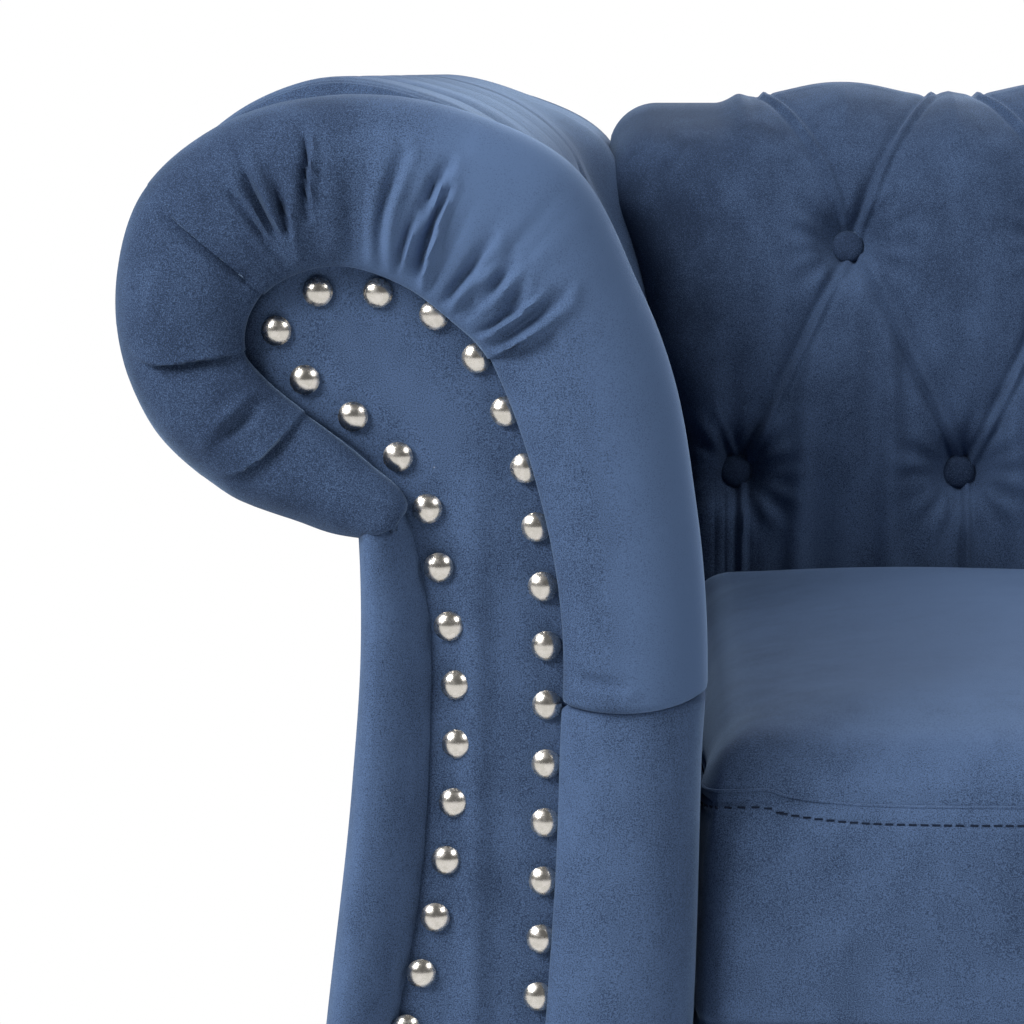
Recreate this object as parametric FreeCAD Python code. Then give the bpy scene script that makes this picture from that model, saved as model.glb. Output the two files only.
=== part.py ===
import FreeCAD
import Part
import math
import os

# Three-seat scroll-arm sofa, millimetres, +Z up, front towards -Y.
# The origin is on the floor, under the middle of the sofa.

# Overall size
SOFA_WIDTH = 2140.0
SOFA_DEPTH = 860.0
ARM_HEIGHT = 711.0
FOOT_HEIGHT = 110.0

# Fits and sheet thicknesses
GAP = 0.3
VELVET = 2.0
PLY = 20.0
RAIL = 25.0

# Arm outline: distances out from the arm's innermost line, and drops from the arm's top
ARM_WIDTH = 244.0
INNER_FOOT = 10.0
SEAM_DROP = 255.0
SHOULDER_OUT = 52.0
SHOULDER_DROP = 39.0
ROLL_TOP_OUT = 150.0
ROLL_SIDE_DROP = 90.0
ROLL_UNDER_OUT = 196.0
ROLL_UNDER_DROP = 166.0
NECK_OUT = 146.0
NECK_DROP = 186.0
FLANK_WAIST_OUT = 144.0
FLANK_WAIST_DROP = 231.0
FLANK_FOOT_OUT = 176.0

# Front facing of the arm, a keyhole-shaped panel inside the padded border
FACING_FOOT_IN = 70.0
FACING_WAIST_IN = 58.0
FACING_SHOULDER_OUT = 90.0
FACING_SHOULDER_DROP = 109.0
FACING_TOP_OUT = 155.0
FACING_TOP_DROP = 77.0
FACING_TIP_OUT = 191.5
FACING_TIP_DROP = 108.0
FACING_UNDER_OUT = 161.0
FACING_UNDER_DROP = 144.0
FACING_NECK_OUT = 127.0
FACING_WAIST_OUT = 116.0
FACING_WAIST_DROP = 271.0
FACING_FLARE_OUT = 133.5
FACING_FLARE_DROP = 385.0
FACING_FOOT_OUT = 150.0
FACING_RECESS = 18.0
FACING_THICK = 5.0
REAR_FACING_THICK = 4.0

# Headings of the outlines at their corners, degrees from straight outwards
SHOULDER_HEADING = 52.0
ROLL_UNDER_HEADING = -152.0
NECK_HEADING = -165.0
FACING_SHOULDER_HEADING = 57.0
FACING_UNDER_HEADING = -143.0
FACING_NECK_HEADING = -100.0
FACING_FLARE_HEADING = -74.0

# Nails round the facing
NAIL_INSET = 10.0
NAIL_PITCH = 25.3
NAIL_FIRST = 10.0
NAIL_RADIUS = 5.5
NAIL_DOME = 3.8
NAIL_SHANK_RADIUS = 1.0
NAIL_SHANK = 16.0

# Back
BACK_DEPTH = 244.0
BACK_PAD = 60.0
BACK_ROLL_DROP = 85.0
BACK_TACK_DROP = 150.0
BACK_END_OUT = 50.0
BACK_CORNER_RADIUS = 26.0
BACK_POST_TOP_DROP = 72.0
BACK_POST_SHOULDER = 46.0
BACK_POST_SIDE_DROP = 120.0
BACK_PANEL_THICK = 3.0
BRACKET_WIDTH = 16.0
BRACKET_LEG = 24.0
BRACKET_THICK = 2.0
WEB_WIDTH = 50.0
WEB_THICK = 2.0
WEB_COUNT = 2

# Tufting buttons
TUFT_PITCH = 133.3
TUFT_END = 20.0
TUFT_UPPER_DROP = 98.0
TUFT_LOWER_DROP = 233.0
TUFT_DEPTH = 20.0
POCKET_RADIUS = 13.0
BUTTON_RADIUS = 9.75
BUTTON_THICK = 5.0
BUTTON_SHANK_RADIUS = 1.5
BUTTON_SHANK = 24.0
ARM_TUFT_FIRST = 70.0

# Seat base
RAIL_HEIGHT = 150.0
CROSS_RAIL_HEIGHT = 90.0
CUSHION_SETBACK = 25.0
BORDER_SETBACK = 35.0
BORDER_PAD = 10.0
DECK_FOAM = 17.0
CORNER_BLOCK = 90.0
DUST_COVER = 1.0

# Springs
SPRINGS_PER_SEAT = 5
SPRING_WIRE_RADIUS = 2.0
SPRING_WIDTH = 46.0
SPRING_PITCH = 22.0
CLIP_LENGTH = 24.0
CLIP_WIDTH = 16.0
CLIP_HEIGHT = 10.0
CLIP_WIRE_HEIGHT = 5.0

# Seat cushions
CUSHIONS = ["left", "centre", "right"]
CUSHION_TOP = 447.0
CUSHION_SIDE_GAP = 3.0
CUSHION_JOIN_GAP = 2.0
CUSHION_REAR_GAP = 3.0
CUSHION_ROUND = 28.0

# Feet
FOOT_TOP_RADIUS = 32.0
FOOT_NECK_RADIUS = 21.0
FOOT_BULB_RADIUS = 34.0
FOOT_TOE_RADIUS = 19.0
FOOT_COLLAR = 16.0
FOOT_NECK = 14.0
FOOT_TOE = 20.0
FOOT_INSET = 75.0
GLIDE_RADIUS = 15.0
GLIDE_THICK = 3.0
FOOT_BOLT_RADIUS = 4.0
FOOT_BOLT_DOWN = 40.0
FOOT_BOLT_UP = 20.0

# Bolts that hold the arms and back to the base
BOLT_RADIUS = 4.0
BOLT_HEAD_RADIUS = 8.0
BOLT_HEAD = 4.0
BOLT_GRIP = 30.0
BOLTS_PER_ARM = 3
MOUNT_RAIL_LIFT = 30.0
MOUNT_RAIL_HEIGHT = 100.0
MOUNT_RAIL_REACH = 28.0

# Places worked out from the sizes above
HALF_SEAT = SOFA_WIDTH / 2 - ARM_WIDTH
FRONT = -SOFA_DEPTH / 2
REAR = SOFA_DEPTH / 2
BASE = FOOT_HEIGHT
SEAM = ARM_HEIGHT - SEAM_DROP
NECK = ARM_HEIGHT - NECK_DROP
RAIL_TOP = BASE + RAIL_HEIGHT
DECK_FOAM_BOTTOM = RAIL_TOP + CLIP_HEIGHT + GAP
DECK = DECK_FOAM_BOTTOM + DECK_FOAM + VELVET
FACING_FRONT = FRONT + FACING_RECESS
BOARD_FRONT = FACING_FRONT + FACING_THICK
BOARD_INNER_FRONT = BOARD_FRONT + PLY
ARM_REAR = REAR - REAR_FACING_THICK
BOARD_INNER_REAR = ARM_REAR - PLY
BACK_FRONT = REAR - BACK_DEPTH
POST_REAR = BACK_DEPTH - BACK_PANEL_THICK
BACK_TACK = ARM_HEIGHT - BACK_TACK_DROP
BORDER_FRONT = FRONT + BORDER_SETBACK
FRONT_RAIL_Y = BORDER_FRONT + VELVET + BORDER_PAD
SPRING_RAIL_Y = BACK_FRONT + WEB_THICK
REAR_RAIL_Y = REAR - BACK_PANEL_THICK - RAIL
SEATS = len(CUSHIONS)
CUSHION_FRONT = FRONT + CUSHION_SETBACK
CUSHION_REAR = BACK_FRONT - CUSHION_REAR_GAP
CUSHION_SPAN = 2 * HALF_SEAT - 2 * CUSHION_SIDE_GAP - (SEATS - 1) * CUSHION_JOIN_GAP
CUSHION_WIDTH = CUSHION_SPAN / SEATS
SIDES = {"left": -1, "right": 1}

made = {}


class Stretch:
    """One arc of an outline in the (out, up) plane, from a start point and heading to an end point."""

    def __init__(self, start, heading, end):
        self.start = start
        self.heading = heading
        self.end = end
        across = end[0] - start[0]
        rise = end[1] - start[1]
        bend = math.atan2(rise, across) - heading
        self.bend = math.atan2(math.sin(bend), math.cos(bend))
        straight = abs(self.bend) < 1e-6
        self.length = math.hypot(across, rise) * (1 if straight else self.bend / math.sin(self.bend))

    def point(self, share):
        turned = self.bend * share
        chord = self.length * share
        if abs(turned) > 1e-9:
            chord *= math.sin(turned) / turned
        direction = self.heading + turned
        return (self.start[0] + chord * math.cos(direction), self.start[1] + chord * math.sin(direction))

    def heading_at(self, share):
        return self.heading + 2 * self.bend * share

    def normal(self, share):
        """Unit vector to the left of the way along the outline."""
        heading = self.heading_at(share)
        return (-math.sin(heading), math.cos(heading))

    def shifted(self, distance):
        """The same stretch moved to its left, concentric with this one."""
        first, last = self.normal(0), self.normal(1)
        start = (self.start[0] + first[0] * distance, self.start[1] + first[1] * distance)
        end = (self.end[0] + last[0] * distance, self.end[1] + last[1] * distance)
        return Stretch(start, self.heading, end)

    def edge(self, place):
        if abs(self.bend) < 1e-6:
            return Part.LineSegment(place(*self.start), place(*self.end)).toShape()
        return Part.Arc(place(*self.start), place(*self.point(0.5)), place(*self.end)).toShape()


def outline(corners):
    """Smooth outline through (out, up, heading in degrees) corners, two tangent arcs between each pair."""
    path = []
    for (u0, z0, a0), (u1, z1, a1) in zip(corners, corners[1:]):
        h0, h1 = math.radians(a0), math.radians(a1)
        t0 = (math.cos(h0), math.sin(h0))
        t1 = (math.cos(h1), math.sin(h1))
        across = (u1 - u0, z1 - z0)
        span = across[0] ** 2 + across[1] ** 2
        along = across[0] * (t0[0] + t1[0]) + across[1] * (t0[1] + t1[1])
        spread = 2 * (1 - t0[0] * t1[0] - t0[1] * t1[1])
        if spread < 1e-9:
            reach = span / (2 * along)
        else:
            reach = (math.sqrt(along ** 2 + spread * span) - along) / spread
        first = (u0 + reach * t0[0], z0 + reach * t0[1])
        second = (u1 - reach * t1[0], z1 - reach * t1[1])
        joint = ((first[0] + second[0]) / 2, (first[1] + second[1]) / 2)
        path.append(Stretch((u0, z0), h0, joint))
        path.append(Stretch(joint, path[-1].heading_at(1), (u1, z1)))
    return path


def shifted(path, distance):
    return [stretch.shifted(distance) for stretch in path]


def lines(points, place):
    """Straight edges through a list of points."""
    pairs = [(a, b) for a, b in zip(points, points[1:]) if math.dist(a, b) > 1e-6]
    return [Part.LineSegment(place(*a), place(*b)).toShape() for a, b in pairs]


def face(path, corners, place):
    """Face inside a path that is closed by straight lines through the corners."""
    edges = [stretch.edge(place) for stretch in path]
    edges += lines([path[-1].end, *corners, path[0].start], place)
    return Part.Face(Part.Wire(edges))


def at_height(path, height):
    """Point and left normal where an outline that climbs first passes a height."""
    for stretch in path:
        if stretch.start[1] <= height <= stretch.end[1]:
            low, high = 0.0, 1.0
            for _ in range(50):
                middle = (low + high) / 2
                if stretch.point(middle)[1] < height:
                    low = middle
                else:
                    high = middle
            return stretch.point(low), stretch.normal(low)
    raise ValueError("the outline doesn't reach that height")


def spaced(path, first, pitch):
    """Points along an outline at an even pitch."""
    points = []
    station = first
    passed = 0.0
    for stretch in path:
        while station <= passed + stretch.length:
            points.append(stretch.point((station - passed) / stretch.length))
            station += pitch
        passed += stretch.length
    return points


def vec(x, y, z):
    return FreeCAD.Vector(x, y, z)


def block(x0, x1, y0, y1, z0, z1):
    low = (min(x0, x1), min(y0, y1), min(z0, z1))
    return Part.makeBox(abs(x1 - x0), abs(y1 - y0), abs(z1 - z0), vec(*low))


def along_y(shape, y0, y1):
    """Prism of a face that lies in the plane y = 0."""
    moved = shape.translated(vec(0, y0, 0))
    return moved.extrude(vec(0, y1 - y0, 0))


def along_x(shape, x0, x1):
    """Prism of a face that lies in the plane x = 0."""
    moved = shape.translated(vec(x0, 0, 0))
    return moved.extrude(vec(x1 - x0, 0, 0))


def arm_place(side):
    """Maps the arm outline's (out, up) to the plane y = 0 on that side."""
    return lambda out, up: vec(side * (HALF_SEAT + out), 0, up)


def back_place(out, up):
    return vec(0, BACK_FRONT + out, up)


def keep(name, shape):
    made[name] = shape


# Outlines of the arm

ARM_LOWER = outline([(INNER_FOOT, BASE, 90), (0, SEAM, 90)])
SHOULDER_KEY = (SHOULDER_OUT, ARM_HEIGHT - SHOULDER_DROP, SHOULDER_HEADING)
ROLL_TOP_KEY = (ROLL_TOP_OUT, ARM_HEIGHT, 0)
ARM_ROLL = outline([
    (0, SEAM, 90),
    SHOULDER_KEY,
    ROLL_TOP_KEY,
    (ARM_WIDTH, ARM_HEIGHT - ROLL_SIDE_DROP, -90),
    (ROLL_UNDER_OUT, ARM_HEIGHT - ROLL_UNDER_DROP, ROLL_UNDER_HEADING),
    (NECK_OUT, NECK, NECK_HEADING),
])
ARM_FLANK = outline([
    (NECK_OUT, NECK, -90),
    (FLANK_WAIST_OUT, ARM_HEIGHT - FLANK_WAIST_DROP, -90),
    (FLANK_FOOT_OUT, BASE, -90),
])
FACING = outline([
    (FACING_FOOT_IN, BASE, 90),
    (FACING_WAIST_IN, SEAM, 90),
    (FACING_SHOULDER_OUT, ARM_HEIGHT - FACING_SHOULDER_DROP, FACING_SHOULDER_HEADING),
    (FACING_TOP_OUT, ARM_HEIGHT - FACING_TOP_DROP, 0),
    (FACING_TIP_OUT, ARM_HEIGHT - FACING_TIP_DROP, -90),
    (FACING_UNDER_OUT, ARM_HEIGHT - FACING_UNDER_DROP, FACING_UNDER_HEADING),
    (FACING_NECK_OUT, NECK, FACING_NECK_HEADING),
    (FACING_WAIST_OUT, ARM_HEIGHT - FACING_WAIST_DROP, -90),
    (FACING_FLARE_OUT, ARM_HEIGHT - FACING_FLARE_DROP, FACING_FLARE_HEADING),
    (FACING_FOOT_OUT, BASE, -90),
])

# Points inside the facing that the padding regions run through
CORE_SEAM = ((FACING_WAIST_IN + FACING_WAIST_OUT) / 2, SEAM)
CORE_NECK = (CORE_SEAM[0], NECK)
CORE_FOOT = (CORE_SEAM[0], BASE)


def roll_region(side, inset):
    return face(shifted(ARM_ROLL, -inset), [CORE_NECK, CORE_SEAM], arm_place(side))


def lower_region(side, inset, bottom):
    path = shifted(ARM_LOWER, -inset)
    whole = face(path, [CORE_SEAM, CORE_FOOT], arm_place(side))
    if bottom <= BASE:
        return whole
    reach = [(-SHOULDER_OUT, bottom), (CORE_SEAM[0], bottom), (CORE_SEAM[0], SEAM), (-SHOULDER_OUT, SEAM)]
    frame = [arm_place(side)(*p) for p in reach]
    return whole.common(Part.Face(Part.makePolygon([*frame, frame[0]])))


def flank_region(side, inset):
    return face(shifted(ARM_FLANK, -inset), [CORE_FOOT, CORE_NECK], arm_place(side))


def facing_region(side, grow):
    return face(shifted(FACING, grow), [], arm_place(side))


def arm_outline_region(side, grow):
    """The whole arm's outline, grown by a clearance."""
    place = arm_place(side)
    path = shifted(ARM_LOWER, grow) + shifted(ARM_ROLL, grow)
    flank = shifted(ARM_FLANK, grow)
    edges = [stretch.edge(place) for stretch in path]
    edges += lines([path[-1].end, (NECK_OUT, NECK), flank[0].start], place)
    edges += [stretch.edge(place) for stretch in flank]
    edges += lines([flank[-1].end, path[0].start], place)
    return Part.Face(Part.Wire(edges))


def skin(region, side, wall, y0, y1):
    """Velvet over a padding region: its outer wall, and the front turned in to the facing."""
    outer = along_y(region(side, 0), y0, y1)
    inner = along_y(region(side, wall), y0 + wall, y1)
    return outer.cut(inner).cut(along_y(facing_region(side, GAP), y0 - GAP, y1 + GAP))


def stuffing(region, side, y0, y1):
    """Padding that fills a region round the facing, clear of its velvet."""
    solid = along_y(region(side, VELVET + GAP), y0 + VELVET + GAP, y1)
    return solid.cut(along_y(facing_region(side, GAP), y0, y1 + GAP))


def button_set(point, normal, place, stations):
    """Pockets, shank holes and buttons on a padded face, at a list of stations along it."""
    pockets, buttons = [], []
    for station in stations:
        surface = place(point[0], point[1], station)
        outward = place(point[0] + normal[0], point[1] + normal[1], station) - surface
        floor = surface - outward * TUFT_DEPTH
        pockets.append(Part.makeCylinder(POCKET_RADIUS, 2 * TUFT_DEPTH, floor, outward))
        foot = floor - outward * BUTTON_SHANK
        pockets.append(Part.makeCylinder(BUTTON_SHANK_RADIUS + GAP, BUTTON_SHANK + GAP, foot, outward))
        cap = Part.makeCylinder(BUTTON_RADIUS, BUTTON_THICK, floor, outward)
        rim = [e for e in cap.Edges if e.Curve.TypeId == "Part::GeomCircle"]
        rim.sort(key=lambda e: e.CenterOfMass.distanceToPoint(surface))
        cap = cap.makeFillet(BUTTON_THICK / 2, rim[:1])
        shank = Part.makeCylinder(BUTTON_SHANK_RADIUS, BUTTON_SHANK, foot, outward)
        buttons.append(cap.fuse(shank).removeSplitter())
    return pockets, buttons


def arm_button_stations():
    """Places along the arm of the upper and lower rows, as many as fit in front of the back."""
    first = BOARD_INNER_FRONT + ARM_TUFT_FIRST
    room = BACK_FRONT - POCKET_RADIUS - TUFT_PITCH / 2 - first
    upper = [first + TUFT_PITCH * i for i in range(int(room / TUFT_PITCH) + 1)]
    lower = [y + TUFT_PITCH / 2 for y in upper]
    return upper, lower


def back_button_stations():
    """Places along the back of the upper and lower rows, centred, as many as fit between the arms."""
    count = int(2 * (HALF_SEAT - TUFT_END) / TUFT_PITCH)
    lower = [(i - count / 2) * TUFT_PITCH for i in range(count + 1)]
    upper = [x + TUFT_PITCH / 2 for x in lower[:-1]]
    return upper, lower


def make_nails(side):
    nails = []
    for out, up in spaced(shifted(FACING, -NAIL_INSET), NAIL_FIRST, NAIL_PITCH):
        seat = arm_place(side)(out, up) + vec(0, FACING_FRONT, 0)
        curve = (NAIL_RADIUS ** 2 + NAIL_DOME ** 2) / (2 * NAIL_DOME)
        ball = Part.makeSphere(curve, seat + vec(0, curve - NAIL_DOME, 0))
        dome = ball.common(Part.makeCylinder(NAIL_RADIUS, NAIL_DOME, seat, vec(0, -1, 0)))
        shank = Part.makeCylinder(NAIL_SHANK_RADIUS, NAIL_SHANK, seat, vec(0, 1, 0))
        nails.append(dome.fuse(shank).removeSplitter())
    return Part.makeCompound(nails)


def make_arm(name, side):
    place = arm_place(side)

    def station(out, up, y):
        return place(out, up) + vec(0, y, 0)

    # Wooden frame: two scroll boards, the rails between them and the rail that meets the seat base
    board = facing_region(side, 0)
    front_board = along_y(board, BOARD_FRONT, BOARD_INNER_FRONT)
    rear_board = along_y(board, BOARD_INNER_REAR, ARM_REAR)
    keep(f"{name}_arm_boards", Part.makeCompound([front_board, rear_board]))
    x = [side * (HALF_SEAT + out) for out in (FACING_TOP_OUT - RAIL, FACING_TOP_OUT + PLY)]
    roof = ARM_HEIGHT - FACING_TOP_DROP - PLY
    roll_rail = block(*x, BOARD_INNER_FRONT, BOARD_INNER_REAR, roof - RAIL, roof)
    x = [side * (HALF_SEAT + FACING_NECK_OUT - d) for d in (RAIL + PLY, PLY)]
    tack_rail = block(*x, BOARD_INNER_FRONT, BOARD_INNER_REAR, NECK - RAIL, NECK)
    x = [side * (HALF_SEAT + out) for out in (FACING_FOOT_IN + GAP, FACING_FOOT_OUT - GAP)]
    base_rail = block(*x, BOARD_INNER_FRONT, BOARD_INNER_REAR, BASE, BASE + RAIL)
    foot_x = side * foot_out()
    for y in (FRONT + FOOT_INSET, REAR - FOOT_INSET):
        hole = Part.makeCylinder(FOOT_BOLT_RADIUS, FOOT_BOLT_UP, vec(foot_x, y, BASE))
        base_rail = base_rail.cut(hole)
    keep(f"{name}_arm_rails", Part.makeCompound([roll_rail, tack_rail, base_rail]))
    x = [side * HALF_SEAT, side * (HALF_SEAT + FACING_FOOT_IN + MOUNT_RAIL_REACH)]
    low = BASE + MOUNT_RAIL_LIFT
    mount = block(*x, BOARD_INNER_FRONT, BOARD_INNER_REAR, low, low + MOUNT_RAIL_HEIGHT)
    for bolt in arm_bolt_holes(side):
        mount = mount.cut(bolt)
    keep(f"{name}_arm_mount_rail", mount)

    # Padding and velvet
    roll_pad = stuffing(roll_region, side, FRONT, ARM_REAR)
    roll_skin = skin(roll_region, side, VELVET, FRONT, ARM_REAR)
    flank_pad = stuffing(flank_region, side, FRONT, ARM_REAR)
    flank_skin = skin(flank_region, side, VELVET, FRONT, ARM_REAR)

    def whole_lower(which, inset):
        return lower_region(which, inset, BASE)

    def high_lower(which, inset):
        return lower_region(which, inset, DECK)

    strip = stuffing(whole_lower, side, FRONT, BOARD_INNER_FRONT)
    wall = along_y(high_lower(side, VELVET + GAP), BOARD_INNER_FRONT, ARM_REAR)
    wall = wall.cut(along_y(facing_region(side, GAP), FRONT, REAR))
    lower_pad = strip.fuse(wall).removeSplitter()
    strip = skin(whole_lower, side, VELVET, FRONT, BOARD_INNER_FRONT)
    outer = along_y(high_lower(side, 0), BOARD_INNER_FRONT, ARM_REAR)
    inner = along_y(high_lower(side, VELVET), BOARD_INNER_FRONT - GAP, ARM_REAR)
    lower_skin = strip.fuse(outer.cut(inner)).removeSplitter()

    # Buttons on the inside face, in two staggered rows
    buttons = []
    for drop, stations in zip((TUFT_UPPER_DROP, TUFT_LOWER_DROP), arm_button_stations()):
        point, normal = at_height(ARM_ROLL, ARM_HEIGHT - drop)
        pockets, caps = button_set(point, normal, station, stations)
        roll_pad = roll_pad.cut(pockets)
        roll_skin = roll_skin.cut(pockets)
        buttons += caps
    keep(f"{name}_arm_padding", roll_pad)
    keep(f"{name}_arm_cover", roll_skin)
    keep(f"{name}_arm_outer_padding", flank_pad)
    keep(f"{name}_arm_outer_cover", flank_skin)
    keep(f"{name}_arm_lower_padding", lower_pad)
    keep(f"{name}_arm_lower_cover", lower_skin)
    keep(f"{name}_arm_buttons", Part.makeCompound(buttons))

    # Front facing with its nails, and the flat rear facing
    keep(f"{name}_arm_facing", along_y(facing_region(side, 0), FACING_FRONT, BOARD_FRONT))
    keep(f"{name}_arm_rear_facing", along_y(arm_outline_region(side, 0), ARM_REAR, REAR))
    keep(f"{name}_arm_nails", make_nails(side))


# Back

BACK_FACE = outline([
    (0, SEAM, 90),
    SHOULDER_KEY,
    ROLL_TOP_KEY,
    (BACK_DEPTH, ARM_HEIGHT - BACK_ROLL_DROP, -90),
])
BACK_POST = outline([
    (BACK_PAD, SEAM, 90),
    (BACK_PAD + BACK_POST_SHOULDER, ARM_HEIGHT - BACK_POST_TOP_DROP - BACK_POST_SHOULDER, SHOULDER_HEADING),
    (ROLL_TOP_OUT, ARM_HEIGHT - BACK_POST_TOP_DROP, 0),
    (POST_REAR, ARM_HEIGHT - BACK_POST_SIDE_DROP, -90),
])
BACK_LENGTH = HALF_SEAT + BACK_END_OUT


def back_region(inset, bottom, rear_bottom):
    """Section of the padded back above its bottom, from its front face over the roll to the tack line."""
    path = shifted(BACK_FACE, -inset)
    rear_corners = [(BACK_DEPTH - inset, rear_bottom), (BACK_PAD, rear_bottom)]
    return face(path, [*rear_corners, (BACK_PAD, bottom), (inset, bottom)], back_place)


def post_region(grow, bottom):
    path = shifted(BACK_POST, grow)
    return face(path, [(POST_REAR + grow, bottom), (BACK_PAD - grow, bottom)], back_place)


def trimmed_back(shape):
    """Rounds the back's top corners and fits its ends to the arms."""
    low = DECK - BACK_PAD
    slab = block(-BACK_LENGTH, BACK_LENGTH, BACK_FRONT - BACK_PAD, REAR + BACK_PAD, low, ARM_HEIGHT)
    upper = [e for e in slab.Edges if abs(e.CenterOfMass.z - ARM_HEIGHT) < GAP]
    corners = [e for e in upper if abs(e.CenterOfMass.x) > HALF_SEAT]
    shape = shape.common(slab.makeFillet(BACK_CORNER_RADIUS, corners))
    for side in SIDES.values():
        shape = shape.cut(along_y(arm_outline_region(side, GAP), FRONT - GAP, REAR + GAP))
    return shape


def back_post_places():
    end = HALF_SEAT - RAIL / 2
    return [-end, -end / SEATS, end / SEATS, end]


def make_back():
    # Frame: plywood posts notched for the rails that join them
    top = ARM_HEIGHT - BACK_POST_TOP_DROP
    reach = HALF_SEAT - GAP
    middle = BACK_FRONT + ROLL_TOP_OUT
    top_rail = block(-reach, reach, middle - RAIL, middle + RAIL, top - RAIL - PLY, top - PLY)
    rear = REAR - BACK_PANEL_THICK
    tack_rail = block(-reach, reach, rear - RAIL, rear, BACK_TACK - 2 * RAIL, BACK_TACK)
    low = BACK_FRONT + BACK_PAD
    foot_rail = block(-reach, reach, low, low + RAIL, DECK, DECK + 2 * RAIL)
    rails = [top_rail, tack_rail, foot_rail]
    keep("back_rails", Part.makeCompound(rails))
    posts, brackets = [], []
    for x in back_post_places():
        post = along_x(post_region(0, RAIL_TOP), x - PLY / 2, x + PLY / 2)
        posts.append(post.cut(rails))
        x0, x1 = x - BRACKET_WIDTH / 2, x + BRACKET_WIDTH / 2
        flat = block(x0, x1, low - BRACKET_LEG, low, RAIL_TOP, RAIL_TOP + BRACKET_THICK)
        upright = block(x0, x1, low - BRACKET_THICK, low, RAIL_TOP, RAIL_TOP + BRACKET_LEG)
        brackets.append(flat.fuse(upright).removeSplitter())
    keep("back_posts", Part.makeCompound(posts))
    keep("back_brackets", Part.makeCompound(brackets))
    straps = []
    free = SEAM - DECK
    for i in range(WEB_COUNT):
        centre = DECK + free * (i + 1) / (WEB_COUNT + 1)
        strap = block(-reach, reach, low - WEB_THICK, low, centre - WEB_WIDTH / 2, centre + WEB_WIDTH / 2)
        straps.append(strap)
    keep("back_webbing", Part.makeCompound(straps))

    # Padding and velvet, with the buttons in two staggered rows
    behind = along_x(post_region(WEB_THICK + GAP, DECK - GAP), -2 * BACK_LENGTH, 2 * BACK_LENGTH)
    padding = along_x(back_region(VELVET + GAP, DECK + GAP, BACK_TACK), -BACK_LENGTH, BACK_LENGTH)
    padding = trimmed_back(padding.cut(behind))
    outer = along_x(back_region(0, DECK + GAP, BACK_TACK), -BACK_LENGTH, BACK_LENGTH)
    inner = along_x(back_region(VELVET, DECK, BACK_TACK - GAP), -2 * BACK_LENGTH, 2 * BACK_LENGTH)
    cover = trimmed_back(outer.cut(inner).cut(behind))
    buttons = []
    for drop, stations in zip((TUFT_UPPER_DROP, TUFT_LOWER_DROP), back_button_stations()):
        point, normal = at_height(BACK_FACE, ARM_HEIGHT - drop)
        pockets, caps = button_set(point, normal, back_station, stations)
        padding = padding.cut(pockets)
        cover = cover.cut(pockets)
        buttons += caps
    keep("back_padding", padding)
    keep("back_cover", cover)
    keep("back_buttons", Part.makeCompound(buttons))
    panel = block(-HALF_SEAT + GAP, HALF_SEAT - GAP, rear, REAR, BASE, BACK_TACK - GAP)
    keep("back_outer_cover", panel)


def back_station(out, up, x):
    return back_place(out, up) + vec(x, 0, 0)


# Bolts that join the arms to the base


def bolt(seat, direction):
    """Bolt from its head's seat on a rail, through the rail and on into what the rail is bolted to."""
    shank = Part.makeCylinder(BOLT_RADIUS, RAIL + BOLT_GRIP, seat, direction)
    head = Part.makeCylinder(BOLT_HEAD_RADIUS, BOLT_HEAD, seat - direction * BOLT_HEAD, direction)
    return shank.fuse(head).removeSplitter()


def arm_bolt_seats(side):
    up = BASE + MOUNT_RAIL_LIFT + MOUNT_RAIL_HEIGHT / 2
    low = FRONT_RAIL_Y + RAIL + CORNER_BLOCK + 2 * BOLT_HEAD_RADIUS
    high = SPRING_RAIL_Y - CORNER_BLOCK
    step = (high - low) / (BOLTS_PER_ARM - 1)
    return [vec(side * (HALF_SEAT - RAIL), low + step * i, up) for i in range(BOLTS_PER_ARM)]


def arm_bolt_holes(side):
    reach = RAIL + BOLT_GRIP
    return [Part.makeCylinder(BOLT_RADIUS, reach, seat, vec(side, 0, 0)) for seat in arm_bolt_seats(side)]


# Seat base


def foot_out():
    """Distance of the corner feet from the middle, under the arm's frame."""
    return HALF_SEAT + (FACING_FOOT_IN + FACING_FOOT_OUT) / 2


def foot_places():
    """Corner feet by name, then the feet under the middle of the front and spring rails."""
    corners = {}
    for name, side in SIDES.items():
        corners[f"front_{name}_foot"] = (side * foot_out(), FRONT + FOOT_INSET)
        corners[f"rear_{name}_foot"] = (side * foot_out(), REAR - FOOT_INSET)
    middle = [(0, FRONT_RAIL_Y + RAIL / 2), (0, SPRING_RAIL_Y + RAIL / 2)]
    return corners, middle


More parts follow.
